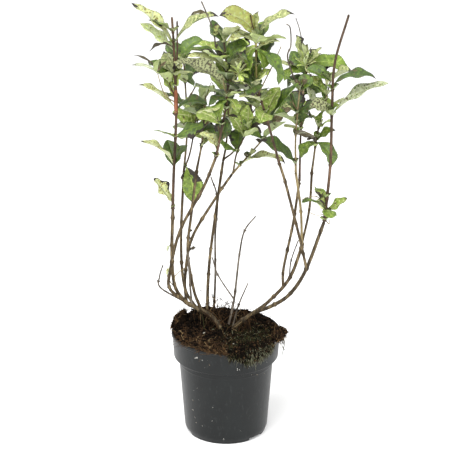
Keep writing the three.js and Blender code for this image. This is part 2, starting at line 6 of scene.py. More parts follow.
import bpy
import numpy as np
from mathutils.kdtree import KDTree
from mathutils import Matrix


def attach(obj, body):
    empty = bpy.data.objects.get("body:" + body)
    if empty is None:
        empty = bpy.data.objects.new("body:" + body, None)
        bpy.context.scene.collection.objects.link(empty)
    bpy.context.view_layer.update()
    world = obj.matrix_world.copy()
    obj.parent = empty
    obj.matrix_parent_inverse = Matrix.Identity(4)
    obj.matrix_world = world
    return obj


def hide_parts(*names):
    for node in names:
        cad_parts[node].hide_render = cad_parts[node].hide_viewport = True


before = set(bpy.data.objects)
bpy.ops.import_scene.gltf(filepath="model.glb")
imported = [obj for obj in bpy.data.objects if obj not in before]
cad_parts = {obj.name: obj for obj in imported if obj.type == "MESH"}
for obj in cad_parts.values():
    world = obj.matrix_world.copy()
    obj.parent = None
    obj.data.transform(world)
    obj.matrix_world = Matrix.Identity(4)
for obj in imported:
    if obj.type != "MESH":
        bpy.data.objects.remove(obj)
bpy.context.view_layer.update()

MM = 0.001

# The pot and the potting mix, as in the solids
POT_HEIGHT = 147
LIP_RADIUS = 75
LIP_WIDTH = 2.4
LIP_BEAD = 1.2
BAND_FOOT = 112
BAND_RADIUS = 72
BODY_RADIUS = 65.2
BASE_RADIUS = 55
BEVEL_WIDTH, BEVEL_RISE = 2.4, 8
WALL = 1.5
FLOOR = 5.6
FOOT_GROOVE = (21, 47, 4)
FOOT_NOTCHES = dict(count=3, width=25, height=4.2, first=-42)
POT_SIDES = 160
MIX_LEVEL = 145.5
MIX_RADIUS = 71.8
MIX_SIDES = 180
MIX_STEP = 1.6

# The leaves, as in the solids, which turn or shrink a leaf that would meet another. A solid's
# corner has to be as near as MATCH to count as a leaf's tip, and TWIG_MATCH as a shoot's.
LEAF_HALF_WIDTH = 1.95
STALK = 0.07
ROOT = 1
OWN_FOLD = 0.2
COARSE_RIBS = 3
TURNS = (0, 20, -20, 40, -40, 65, -65, 95, -95)
SHRINKS = (1, 0.8, 0.62)
MATCH, TWIG_MATCH = 0.05, 1
RISES, DROOPS, LENGTHS = (25, 55), (75, 35), (1, 0.75)
HEADING_SPREAD, RISE_SPREAD, DROOP_SPREAD, LENGTH_SPREAD = (-25, 25), (-15, 15), (0.4, 1.2), (0.75, 1.1)
PAIR_SPREADS = dict(broad=(0.8, 1.15), swing=(-25, 25), roll=(-35, 35), fold=(-0.15, 0.4))

# Side shoots: their sag, their radius at foot and tip, and the leaves round their tip
TWIG_SAG = 0.06
TWIG_GIRTH = (1.1, 0.8)
TWIG_KNOTS = (0.5,)
TWIG_BUD, TWIG_TURNS, TWIG_HEIGHT = 0.9, (0, 85, -85), 0.6

# Young leaves in an axil or at a tip
BUD_LEAVES = dict(rise=(45, 75), droop=(0, 40), length=(0.7, 1.1), broad=(0.6, 0.85),
                  swing=(-20, 20), roll=(-25, 25), fold=(0.2, 0.5))

# A leaf's fine form. Places across it run from 0 at the rib to 1 at the edge.
LANES = (1, 0.84, 0.66, 0.48, 0.28, 0.13, 0.06, 0)
LEAF_STEP = 1.5
STALK_HALF, TIP_HALF = 0.55, 0.12
EGG_WIDEST, EGG_FULLNESS = 1.15, 0.8
VEIN_GAP, NET_VEIN_GAP = 7, 4.5
VEIN_SLANT, VEIN_CURVE = 0.13, 1.3
TOOTH = 0.93
FOLD_GAIN = 1.7
EDGE_DROP = 0.1
WAVE, WAVES = 0.13, 2.3
CUSHION, CUSHION_WIDEST = 0.045, 9
GROOVE, GROOVE_WIDTH = 0.3, 0.13
BLADE_HALF, ROOT_BLADE_HALF = 0.16, 0.45
RIB_DEPTH, RIB_WIDTH = 0.5, 0.1
DRY_FROM = (0.84, 0.92)
DRY_CURL = 0.07
DRY_SHRINK = 0.35
WITHERED_SHRINK = 0.45

# Stems: how finely they are made, their swollen joints and their buds
STEM_STEP = 1.7
FOOT_FLARE, FLARE_RISE = 0.25, 5
KNOT_RISE = 1.9
KNOT_SWELL, SCAR_SWELL = 0.22, 0.28
PATCH_FADE = 0.02
TIP_CLOSE = 0.6
RIDGES = ((0.05, 3, 0.05, 1), (0.035, 5, -0.08, 2), (0.03, 2, 0.7, 0))  # height, count, twist, shift
BUD = dict(out=(0, 0.9, 1.3), up=(0, 1.2, 2.6), wide=(0.8, 0.75, 0.15), deep=(0.7, 0.6, 0.15))

# What a row has unless it says otherwise. A row starts at its foot, or on another at a share of
# that one's run; girth is its radius at foot and tip, and way the places that it passes.
PLAIN = dict(at=1, bark="brown", lost=0.1, twigs=(), own=(), patch=None)

# Limbs, canes and dead twigs, with the shares of the run that have a swollen joint
LIMBS = dict(
    left_limb=dict(foot=(-7, 0, 149), girth=(3.3, 2.8), bark="dark", knots=(0.67, 0.89),
        way=((-19, 3, 165), (-36, 5, 176), (-57, 4, 188))),
    right_limb=dict(foot=(10, -1, 150), girth=(3.2, 2.6), bark="dark", knots=(0.53,),
        way=((22, -6, 164), (39, -10, 179))),
    cane_left=dict(on="left_limb", at=0.98, girth=(2.4, 2.2), knots=(0.35, 0.58, 0.73, 0.93),
        way=((-70, 0, 214), (-73, -6, 265), (-71, -14, 331))),
    cane_front_left=dict(on="left_limb", at=0.93, girth=(2.3, 1.9), knots=(0.22, 0.45, 0.62, 0.76, 0.88),
        way=((-76, -10, 213), (-75, -22, 245), (-61, -40, 309), (-30, -54, 374), (-13, -62, 420))),
    cane_inner_left=dict(on="left_limb", at=0.96, girth=(2.1, 1.8), knots=(0.3, 0.5, 0.62, 0.84),
        way=((-56, 18, 219), (-47, 30, 270), (-15, 44, 323), (8, 52, 356))),
    cane_back_left=dict(on="left_limb", at=0.76, girth=(2.1, 1.8), knots=(0.3, 0.55, 0.78, 0.98),
        way=((-57, 24, 201), (-62, 46, 255), (-58, 66, 353))),
    cane_middle_left=dict(on="left_limb", at=0.62, girth=(2.1, 1.8), knots=(0.35, 0.6, 0.8, 0.98),
        way=((-44, 6, 204), (-52, 8, 259), (-47, 12, 312), (-39, 20, 375))),
    cane_back=dict(foot=(-26, 30, 140), girth=(2.3, 1.8), knots=(0.2, 0.4, 0.59, 0.77, 0.95),
        way=((-25, 42, 200), (-19, 58, 262), (-4, 80, 365))),
    cane_right=dict(on="right_limb", at=0.97, girth=(2.7, 2.3), bark="dark", knots=(0.29, 0.5, 0.75, 0.95),
        way=((62, -24, 194), (86, -34, 216), (107, -38, 254), (130, -33, 320))),
    cane_right_inner=dict(on="right_limb", at=0.93, girth=(2.4, 2.3), knots=(0.4, 0.67, 0.95),
        way=((60, 4, 190), (87, 14, 219), (105, 22, 268))),
    cane_right_near_fork=dict(on="cane_right_inner", at=0.97, girth=(1.7, 1.7), bark="tan",
        knots=(0.5, 0.98), way=((101, 18, 314), (93, 12, 373))),
    cane_right_far_fork=dict(on="cane_right_inner", at=0.93, girth=(1.6, 1.7), knots=(0.5, 0.97),
        way=((113, 34, 311), (116, 42, 364))),
    cane_back_right=dict(on="cane_right_inner", at=0.55, girth=(1.9, 1.8),
        knots=(0.25, 0.47, 0.61, 0.73, 0.97), way=((79, 24, 231), (92, 42, 290), (100, 56, 345))),
    cane_front_right=dict(on="cane_right", at=0.75, girth=(1.9, 1.8), knots=(0.2, 0.45, 0.73, 0.97),
        way=((98, -46, 297), (79, -60, 376), (68, -67, 414))),
    dead_cane_back=dict(foot=(-18, 50, 140), girth=(1.8, 0.9), bark="dead", knots=(0.34, 0.6, 0.79, 0.9),
        way=((-15, 62, 203), (-15, 75, 258), (-12, 86, 307), (-21, 92, 338))),
    dead_stub_left=dict(on="left_limb", at=0.84, girth=(1.5, 1.2), bark="dead", knots=(0.5, 0.9),
        way=((-49, -2, 215), (-51, -6, 265))),
    dead_twig_left=dict(on="left_limb", at=0.985, girth=(1.3, 0.8), bark="dead", knots=(0.5,),
        way=((-89, -4, 212), (-90, -6, 230), (-85, -8, 248))),
    dead_twig_middle=dict(foot=(3, 6, 150), girth=(1.7, 0.9), bark="dead", knots=(0.3, 0.5, 0.75),
        way=((11, 9, 189), (18, 14, 253), (25, 16, 287), (40, 20, 307))),
    dead_twig_inner=dict(on="dead_twig_middle", at=0.25, girth=(1, 0.8), bark="dead", knots=(0.5,),
        way=((-11, 16, 222), (-19, 20, 247))),
    dead_twig_low=dict(foot=(9, 3, 150), girth=(1.3, 0.8), bark="dead", knots=(0.5,),
        way=((17, 1, 184), (30, -1, 218))),
    dead_twig_right=dict(on="cane_right_inner", at=0.66, girth=(1, 0.8), bark="dead", knots=(0.5,),
        way=((88, 2, 249), (97, -8, 283))),
)

# Masses of foliage: pairs are the shares of the run that bear leaves, twigs its side shoots
# (share, heading, rise, length), own the leaves that the photo shows singly (share, then how far
# the tip lies to the right, back and up, droop, roll, look), lost the share of leaves that are
# missing, leaf their length, turn the first pair's heading, looks the tones of the leaves that
# aren't its own, and patch a stretch of other bark (start, stop, bark, swelling).
MASSES = dict(
    foliage_left=dict(on="cane_left", girth=(2.1, 1.4), bark="red", seed=11, turn=20, leaf=46,
        looks="mature fresh olive", patch=(0.5, 0.6, "peeled", 0.6),
        way=((-69, -18, 384), (-65, -24, 467), (-67, -27, 552), (-69, -28, 596)), pairs=(0.4, 0.64, 0.87),
        twigs=((0.55, 168, 70, 28),),
        own=((0.04, -26, 4, 34, 5, -15, "soft left edge"), (0.27, -9, 18, 34, 50, 0, "old"),
             (0.27, 14, 15, 29, 50, 0, "old"), (0.28, -46, 2, 38, 60, 0, "soft tip"),
             (0.52, -49, 2, 33, 25, 5, "soft tip"), (0.51, 41, -7, 11, 80, 10, "old"),
             (0.56, -18, 10, 26, -10, 10, "lime"), (0.59, 3, 5, 36, -15, -25, "lime"),
             (0.77, -55, 4, 55, 40, -5, "soft tip"), (0.75, -44, 8, 34, 5, -5, "light"),
             (0.76, -35, -7, 1, 105, 10, "withered"), (0.78, 58, -6, 42, 60, 5, "olive tip"))),
    foliage_front_left=dict(on="cane_front_left", girth=(1.8, 1), bark="red", seed=69, turn=150, leaf=48,
        looks="fresh soft mature old", way=((-4, -68, 469), (2, -72, 513), (-3, -70, 580)),
        pairs=(0.3, 0.46, 0.6, 0.74, 0.97), twigs=((0.6, 10, 55, 20), (0.78, 150, 60, 20)),
        own=((0.04, -23, 4, 25, 85, -5, "soft"), (0.14, 9, 13, 30, -15, 30, "old edge"),
             (0.57, -24, 0, -9, 105, -10, "old"), (0.58, -14, -17, -19, 80, 15, "grass"),
             (0.59, 13, -16, -14, 85, -15, "fresh"), (0.63, 30, -5, 7, 75, -45, "pale edge"),
             (0.66, -65, -11, 42, 55, 40, "veined"), (0.82, -50, 7, 13, 40, -5, "soft"),
             (0.82, -33, -9, 26, 20, 20, "light edge"), (0.9, -36, 2, 13, 40, -5, "fresh"),
             (0.85, 27, -8, 26, 80, 35, "mature"), (0.8, 30, 5, 15, 35, 5, "soft"))),
    foliage_back_left=dict(on="cane_back_left", girth=(1.6, 1), seed=45, turn=60, leaf=52,
        looks="mature old fresh", way=((-53, 76, 418), (-57, 84, 507)), pairs=(0.46, 0.64, 0.83, 0.98),
        twigs=((0.7, 20, 55, 24),), own=((0.99, 26, 5, 29, 105, 20, "mature"),)),
    foliage_back_left_shoot=dict(on="foliage_back_left", at=0.03, girth=(1.3, 0.9), seed=97, turn=40,
        leaf=42, looks="mature fresh", way=((-48, 54, 390), (-38, 46, 452)), pairs=(0.67, 0.97),
        twigs=((0.75, 60, 50, 18),),
        own=((0.12, 11, -14, -50, 60, 30, "grass right base edge"), (0.78, -7, 1, 23, 0, -5, "lime"),
             (0.77, 32, -6, 18, 5, 20, "fresh"), (0.98, 22, -13, -13, 115, -5, "fresh"))),
    foliage_inner_left=dict(on="cane_inner_left", girth=(1.5, 1), bark="tan", seed=54, turn=0, leaf=46,
        lost=0.15, looks="mature bronze old", way=((34, 60, 384), (64, 68, 417)), pairs=(0.76, 0.97),
        own=((0.23, 63, -9, 5, 75, -5, "soft tip"), (0.38, 14, -8, 14, -5, 30, "soft tip"),
             (0.96, 27, -5, 32, 45, 25, "bronze"))),
    foliage_inner_left_shoot=dict(on="foliage_inner_left", at=0.03, girth=(1.3, 0.9), seed=54, turn=60,
        leaf=46, lost=0.15, looks="fresh mature", way=((15, 45, 390), (31, 36, 428)), pairs=(0.5, 0.8),
        own=((0.9, 2, 2, 39, -15, 0, "fresh"),)),
    foliage_middle_left=dict(on="cane_middle_left", girth=(1.6, 0.9), seed=88, turn=40, leaf=42, lost=0.2,
        looks="olive old fresh", way=((-32, 24, 414), (-27, 26, 478)), pairs=(0.4, 0.53, 0.74, 0.97),
        twigs=((0.66, -40, 50, 20),)),
    foliage_back=dict(on="cane_back", girth=(1.6, 0.9), seed=12, turn=0, leaf=50, looks="old mature fresh",
        way=((1, 86, 396), (5, 96, 476), (8, 98, 505)), pairs=(0.25, 0.42, 0.6, 0.8, 0.98),
        twigs=((0.5, 110, 55, 22), (0.68, -60, 55, 26))),
    foliage_back_shoot=dict(on="foliage_back", at=0.02, girth=(1.3, 0.9), seed=4, turn=130, leaf=46,
        looks="fresh old", way=((14, 92, 381), (33, 106, 430), (38, 108, 452)), pairs=(0.54, 0.76, 0.98),
        twigs=((0.6, -20, 50, 20),),
        own=((0.91, -7, 4, 30, 30, 5, "old"), (0.78, 22, -8, -27, 45, 10, "pale"))),
    foliage_right_near=dict(on="cane_right_near_fork", girth=(1.5, 0.9), bark="tan", seed=96, turn=120,
        leaf=46, lost=0.15, looks="bronze mature old", way=((92, 6, 427), (96, -2, 492)),
        pairs=(0.5, 0.62, 0.74, 0.98), own=((0.12, -49, -5, 36, 35, -20, "old tip"),)),
    foliage_right_far=dict(on="cane_right_far_fork", girth=(1.5, 0.9), seed=14, turn=110, leaf=46,
        lost=0.12, looks="olive mature fresh", way=((124, 50, 420), (140, 58, 488)),
        pairs=(0.52, 0.68, 0.84, 0.98),
        own=((0.37, 26, -4, 18, 40, 15, "grass tip"), (0.36, 22, -8, -32, 85, 20, "mature"),
             (0.35, -20, -7, -19, 95, -10, "grass"), (0.38, -14, -12, 4, 65, 0, "withered"),
             (0.69, -6, -9, -15, 30, 30, "grass"), (0.8, -9, 10, 26, -10, 15, "mature"))),
    foliage_back_right=dict(on="cane_back_right", girth=(1.6, 1), bark="red", seed=73, turn=40, leaf=48,
        looks="olive fresh mature", way=((102, 68, 428), (109, 78, 504)), pairs=(0.42, 0.55, 0.72, 0.9),
        twigs=((0.8, 100, 60, 22),),
        own=((0.97, -16, -9, 48, -15, -50, "olive edge"), (0.98, 1, -1, 32, 15, 60, "soft tip"),
             (0.99, 20, 4, 24, 10, 5, "olive edge"), (0.99, 58, 6, -8, 55, 25, "grass"),
             (0.94, 27, -10, -19, 125, 0, "soft"), (0.91, -30, -5, -8, 125, -10, "grass"),
             (0.85, -24, 4, -13, 125, -15, "old"), (0.84, -10, -14, -36, 25, 35, "dry"),
             (0.81, 1, -1, -39, 125, -15, "pale"))),
    foliage_front_right=dict(on="cane_front_right", girth=(1.6, 1.2), bark="red", seed=46,
        # Its green patch is partly painted light: the upper stem's greenish tone is made lighter so that it
        # looks lit.
        patch=(0.64, 1.1, "green", 0), turn=100, leaf=50, looks="soft fresh grass old",
        way=((51, -78, 479), (39, -84, 523), (37, -86, 587)), pairs=(0.36, 0.49, 0.66, 0.8, 0.95),
        twigs=((0.54, -140, 50, 22), (0.86, 60, 60, 20)),
        own=((0.97, -46, -5, 35, 90, -35, "young tip"), (0.95, -37, 4, -3, 125, -10, "soft"),
             (0.99, 2, 2, 34, -15, -25, "olive tip"), (1, 48, -3, 31, 45, 5, "olive tip"),
             (0.91, 31, 8, 9, 55, -5, "soft"), (0.91, 29, -10, -43, 90, 5, "mature"),
             (0.92, 10, -8, -25, 85, 0, "grass"), (0.71, 18, 3, 13, -15, 10, "lime"),
             (0.93, -7, -6, -35, 55, 20, "grass"), (0.32, 17, 10, 39, 45, 15, "fresh"),
             (0.29, 39, -7, 54, 10, 15, "mature"))),
    foliage_right=dict(on="cane_right", girth=(2.1, 1.6), bark="red", seed=73, turn=100, leaf=40, lost=0.3,
        looks="mature grass", way=((137, -22, 395), (138, -14, 468), (141, -8, 531), (158, 0, 592)),
        pairs=(0.05, 0.25, 0.47), twigs=((0.03, 120, 60, 14),),
        own=((0.63, 57, -4, 11, 60, 5, "old tip"), (0.48, 73, -5, 44, 35, 5, "pale"),
             (0.47, -30, -8, 15, 100, -25, "veined"), (0.04, 30, -6, 22, -5, 15, "fresh tip"),
             (0.04, -14, -4, 17, 60, -30, "light"), (0.05, -13, 2, 27, 50, -10, "fresh edge"))),
)

BARE_TOPS = ("foliage_left", "foliage_right")

# Fine twigs that only this scene has: (on, at, way, girth, bark)
FINE_TWIGS = (
    ("foliage_left", 0.54, ((-78, -27, 491), (-84, -29, 506), (-89, -31, 526)), (0.8, 0.5), "tan"),
    ("foliage_left", 0.7, ((-63, -26, 545), (-62.5, -24, 590)), (1.3, 1), "red"),
    ("foliage_front_left", 0.89, ((-12, -70, 566), (-15, -68, 583), (-19, -67, 597), (-25, -66, 612),
     (-31, -65, 626)), (1.1, 0.8), "dead"),
    ("foliage_front_left", 0.63, ((-2, -74, 516), (-5, -77, 540)), (0.8, 0.6), "tan"),
    ("foliage_front_left", 0.63, ((5, -69, 517), (5, -67, 535)), (0.8, 0.6), "tan"),
    ("foliage_middle_left", 0.85, ((-35, 22, 452), (-39, 19, 455)), (0.7, 0.6), "brown"),
    ("foliage_front_right", 0.97, ((32, -84, 602), (30, -82, 613)), (0.9, 0.7), "red"),
    ("foliage_front_right", 0.59, ((58, -78, 546), (69, -73, 570)), (0.8, 0.5), "tan"),
    ("foliage_right_near", 0.97, ((80, 1, 532), (84, 4, 550), (83, 7, 572), (78, 10, 577)), (1.1, 0.7),
     "dead"),
    ("foliage_back_right", 0.97, ((99, 80, 547), (93, 83, 566)), (0.8, 0.5), "dead"),
    ("foliage_front_left", 0.18, ((-17, -60, 517), (-27, -55, 493)), (0.5, 0.4), "brown"),
    ("foliage_right", 0.01, ((136, -35, 317), (137, -37, 324)), (0.6, 0.4), "tan"),
    ("foliage_right", 0.03, ((119, -34, 329), (111, -36, 333)), (0.5, 0.4), "tan"),
    ("foliage_right", 0.06, ((121, -31, 353), (110, -32, 354), (99, -33, 350)), (0.6, 0.4), "tan"),
    ("foliage_right_near", 0.78, ((88, 0, 472), (83, -2, 489)), (0.9, 0.6), "brown"),
    ("cane_left", 0.28, ((-79, -3, 226), (-80, -6, 243)), (0.7, 0.5), "tan"),
    ("cane_left", 0.33, ((-69, -5, 230), (-56, -9, 243)), (0.7, 0.5), "tan"),
)

# Small leaves that only this scene has, many of them withered. After each place come its leaves:
# (right, back, up, droop, roll, look, broad)
FINE_LEAVES = (
    ((-89, -31, 528), (-30, -4, 21, 50, 60, "withered", 0.35)),
    ((-90, -31, 524), (-32, -2, 10, 60, 50, "pale tip", 0.35)),
    ((-89, -31, 524), (4, -4, 20, 20, 10, "fresh", 0.9)),
    ((-88, -31, 526), (12, 2, 13, 20, 80, "bronze", 0.25)),
    ((-70, -27, 539), (-7, -4, 12, 30, 20, "olive edge", 0.8)),
    ((-70, -27, 522), (-7, -5, 13, 40, 20, "olive edge", 0.8)),
    ((-67, -25, 523), (9, -4, 14, 40, 20, "pale edge", 0.9)),
    ((-67, -25, 539), (8, -6, -12, 60, 20, "soft edge", 0.8)),
    ((-23, -66, 610), (-22, -2, -1, 50, 40, "bronze tip", 0.6)),
    ((-17, -69, 584), (10, -3, 12, 70, 30, "young edge", 0.9)),
    ((-17, -69, 586), (8, -4, 0, 60, 30, "olive edge", 0.8)),
    ((-14, -69, 569), (5, -2, 2, 60, 30, "withered", 1.2)),
    ((16, -88, 539), (-15, -3, 5, 30, 10, "lime", 0.5), (-12, -3, 13, 30, 10, "lime", 0.5),
     (-5, -3, 18, 20, 10, "soft", 0.45), (3, -4, 19, 10, 10, "lime", 0.45),
     (10, -4, 15, 30, 10, "soft", 0.5), (16, -4, 7, 40, 10, "lime", 0.5),
     (13, -5, -5, 40, 10, "fresh", 0.55), (-9, -5, -10, 40, 10, "soft", 0.55),
     (4, -6, -13, 40, 10, "lime", 0.5)),
    ((0, -73, 539), (-9, -5, 11, 30, 10, "fresh", 0.6), (-3, -5, 14, 20, 10, "lime", 0.5)),
    ((20, -78, 541), (9, -4, 9, 60, 30, "dry", 0.8)),
    ((1, -62, 474), (15, -3, 0, 80, 40, "withered", 0.6)),
    ((32, 36, 428), (15, -4, 6, 60, 50, "withered", 0.7), (16, -4, -7, 90, 50, "withered", 0.7)),
    ((-7, -62, 451), (-6, -3, 12, 70, 40, "withered", 0.7)),
    ((80, 2, 528), (8, -3, -3, 80, 30, "withered", 1)),
    ((121, 44, 406), (-12, -4, 7, 70, 40, "withered", 1.2)),
    ((120, 44, 406), (-8, -5, -1, 90, 30, "withered", 1)),
    ((-56, 62, 355), (15, -6, -9, 80, 20, "withered", 1.1)),
    ((-57, 62, 355), (-5, -5, -10, 60, 40, "withered", 1)),
    ((40, 36, 411), (8, -4, -4, 70, 40, "withered", 1)),
    ((126, -34, 350), (-10, -3, 14, 60, 30, "withered", 0.9), (2, -4, 14, 50, 30, "withered", 0.9)),
    ((133, -35, 331), (-7, -4, 7, 60, 30, "withered", 1.4), (6, -4, 9, 60, 30, "withered", 1.4)),
    ((-50, 6, 262), (10, -3, 6, 60, 30, "withered", 1)),
    ((-49, 12, 288), (4, -2, 2, 40, 30, "withered", 1.2)),
    ((-31, 26, 464), (-5, -3, 23, 15, 20, "grass", 0.5), (4, -4, 18, 15, 20, "soft", 0.5)),
    ((9, -72, 509), (-9, -4, 3, 60, 30, "bronze", 1)),
    ((45, -80, 574), (19, -3, 7, 40, 30, "olive tip", 0.6)),
    ((105, 70, 475), (6, -3, 15, 40, 30, "dry", 0.8)),
    ((106, 70, 503), (-13, -4, 30, 10, 20, "lime tip", 0.45), (-6, -4, 38, 5, 30, "olive tip", 0.4),
     (7, -5, 29, 10, 20, "lime tip", 0.45), (22, -5, 20, 20, 15, "olive tip", 0.45),
     (-17, -5, 14, 20, 15, "lime", 0.45), (2, -7, 19, 20, 15, "light", 0.4),
     (15, -7, 9, 30, 15, "soft", 0.5), (-12, -8, 3, 40, 10, "lime", 0.5),
     (6, -8, -9, 40, 10, "soft", 0.5)),
    ((-76, -6, 275), (-3, -3, -9, 30, 30, "pale", 0.9)),
    ((-77, -6, 242), (-3, -4, -10, 30, 30, "soft", 0.6)),
)


# How the solids' own draws step from one to the next
SEED_STEP, MULTIPLIER, MODULUS = 7919, 48271, 2 ** 31 - 1


def draws(seed):
    """Repeatable draws between 0 and 1, the same ones that the solids were grown by"""
    state = seed * SEED_STEP + 1
    while True:
        state = state * MULTIPLIER % MODULUS
        yield state / MODULUS


def pick(rng, shares):
    """One of the keys, each as likely as its share"""
    return rng.choice(list(shares), p=list(shares.values()))


def mix(a, b, share):
    return a + (b - a) * share


def smooth(low, high, value):
    """0 below low, 1 above high, and an even slope between"""
    t = np.clip((value - low) / (high - low), 0, 1)
    return t * t * (3 - 2 * t)


def unit(v):
    return v / np.linalg.norm(v, axis=-1, keepdims=True)


def turns(count):
    """That many angles, evenly round"""
    return np.arange(count) * 2 * math.pi / count


class Run:
    """A smooth curve through its places, with the solids' own formula"""

    def __init__(self, places):
        p = np.array(places, float)
        self.places = np.vstack((2 * p[0] - p[1], p, 2 * p[-1] - p[-2]))
        self.spans = len(p) - 1

    def at(self, share):
        t = np.atleast_1d(share) * self.spans
        k = np.minimum(t.astype(int), self.spans - 1)
        w = (t - k)[:, None]
        before, a, b, after = (self.places[k + i] for i in range(4))
        leave, arrive = 0.5 * (b - before), 0.5 * (after - a)
        return (a + leave * w + (3 * (b - a) - 2 * leave - arrive) * w ** 2
                + (2 * (a - b) + leave + arrive) * w ** 3)

    def length(self):
        p = self.at(np.linspace(0, 1, 40))
        return np.linalg.norm(np.diff(p, axis=0), axis=1).sum()


class Heap:
    """Gathers the closed skins of many things of one kind, which become one mesh"""

    def __init__(self):
        self.points, self.corners, self.totals, self.looks = [], [], [], []
        self.count = 0

    def add(self, rings, looks=0):
        """A skin over rings of places, one look for it all or one for each face between rings"""
        rows, sides, _ = rings.shape
        grid = np.arange(rows * sides).reshape(rows, sides) + self.count
        turned = np.roll(grid, -1, axis=1)
        quads = np.stack((grid[:-1], turned[:-1], turned[1:], grid[1:]), axis=-1)
        between = np.broadcast_to(looks, (rows - 1, sides))
        self.corners += [quads.ravel(), grid[0, ::-1], grid[-1]]
        self.totals += [np.full(between.size, 4), [sides, sides]]
        self.looks += [between.ravel(), [between[0, 0], between[-1, 0]]]
        self.points.append(rings.reshape(-1, 3))
        self.count += rows * sides

    def build(self, name, materials, slot, *nodes, sharp=None):
        """The finished piece, riding on the part and standing for those of its nodes"""
        totals = np.concatenate(self.totals)
        corners = np.concatenate(self.corners)
        mesh = bpy.data.meshes.new(name)
        mesh.vertices.add(self.count)
        mesh.loops.add(len(corners))
        mesh.polygons.add(len(totals))
        for rows, key, values in (
                (mesh.vertices, "co", np.concatenate(self.points).ravel() * MM),
                (mesh.loops, "vertex_index", corners.astype(np.int32)),
                (mesh.polygons, "loop_start", (np.cumsum(totals) - totals).astype(np.int32)),
                (mesh.polygons, "material_index", np.concatenate(self.looks).astype(np.int32)),
                (mesh.polygons, "use_smooth", np.ones(len(totals), bool))):
            rows.foreach_set(key, values)
        for material in materials:
            mesh.materials.append(material)
        mesh.update(calc_edges=True)
        if sharp:
            mesh.set_sharp_from_angle(angle=math.radians(sharp))
        piece = show(bpy.data.objects.new(name, mesh))
        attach(piece, "root")
        if nodes:
            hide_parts(*nodes)
        return piece


def show(thing):
    """Puts an object into the scene"""
    bpy.context.scene.collection.objects.link(thing)
    return thing


def sweep(points, wide, deep, sides):
    """Rings round a line: wide and deep are their two radii, one, or one for each place or corner"""
    along = unit(np.gradient(points, axis=0))
    side = np.eye(3)[np.argmin(np.abs(points[-1] - points[0]))]
    across = unit(np.cross(side, along))
    up = np.cross(along, across)
    wide, deep = (radius[:, None] if np.ndim(radius) == 1 else radius for radius in (wide, deep))
    around = np.ones((len(points), 1))
    return (points[:, None] + across[:, None] * (around * wide * np.cos(turns(sides)))[..., None]
            + up[:, None] * (around * deep * np.sin(turns(sides)))[..., None])


def lathe(profile, sides):
    """Rings about the upright axis, from places (radius, height)"""
    r, z = np.array(profile, float).T
    return np.stack((np.outer(r, np.cos(turns(sides))), np.outer(r, np.sin(turns(sides))),
                     np.repeat(z[:, None], sides, axis=1)), axis=-1)


# Materials

RAMP_STOPS = (0.3, 0.7)
FINER = 5
GRAIN_DETAIL, GRAIN_ROUGHNESS = 5, 0.6
FLECK_LEVEL, FLECK_SHARE, FLECK_FADE = 0.66, 0.4, 0.06
GLOSS_DRIFT = 0.1


def finish(name, colour, rough, size, spread=0.3, tint=None, relief=0.0, stretch=(1, 1, 1),
           fleck=None, share=0.0, gleam=0.5):
    """A surface whose colour drifts in patches of that size, with flecks over a share of it"""
    made = bpy.data.materials.new(name)
    made.use_nodes = True
    nodes, link = made.node_tree.nodes, made.node_tree.links.new
    shader = nodes["Principled BSDF"]

    def node(kind, **inputs):
        new = nodes.new("ShaderNode" + kind)
        for key, value in inputs.items():
            new.inputs[key.replace("_", " ")].default_value = value
        return new

    scale = node("Mapping", Scale=stretch)
    link(nodes.new("ShaderNodeTexCoord").outputs["Object"], scale.inputs["Vector"])
    coarse, fine = (node("TexNoise", Scale=finer / (size * MM), Detail=GRAIN_DETAIL,
                         Roughness=GRAIN_ROUGHNESS) for finer in (1, FINER))
    for grain in (coarse, fine):
        link(scale.outputs["Vector"], grain.inputs["Vector"])
    ramp = node("ValToRGB")
    light = tint or [c * (1 + spread) for c in colour]
    stops = ramp.color_ramp.elements
    for stop, at, paint in zip(stops, RAMP_STOPS, ([c * (1 - spread) for c in colour], light)):
        stop.position, stop.color = at, (*paint, 1)
    stops.new(sum(RAMP_STOPS) / 2).color = (*colour, 1)
    link(coarse.outputs["Fac"], ramp.inputs["Fac"])
    painted = ramp.outputs["Color"]
    if fleck:
        mask = node("ValToRGB")
        edge = FLECK_LEVEL - FLECK_SHARE * share
        for stop, at, level in zip(mask.color_ramp.elements, (edge, edge + FLECK_FADE), (0, 1)):
            stop.position, stop.color = at, (level, level, level, 1)
        link(fine.outputs["Fac"], mask.inputs["Fac"])
        blend = node("Mix")
        blend.data_type = "RGBA"
        link(mask.outputs["Color"], blend.inputs["Factor"])
        link(painted, blend.inputs["A"])
        blend.inputs["B"].default_value = (*fleck, 1)
        painted = blend.outputs["Result"]
    link(painted, shader.inputs["Base Color"])
    shader.inputs["Specular IOR Level"].default_value = gleam
    gloss = node("MapRange", To_Min=rough - GLOSS_DRIFT, To_Max=min(1, rough + GLOSS_DRIFT))
    link(fine.outputs["Fac"], gloss.inputs["Value"])
    link(gloss.outputs["Result"], shader.inputs["Roughness"])
    if relief:
        bump = node("Bump", Distance=relief * MM)
        link(fine.outputs["Fac"], bump.inputs["Height"])
        link(bump.outputs["Normal"], shader.inputs["Normal"])
    return made


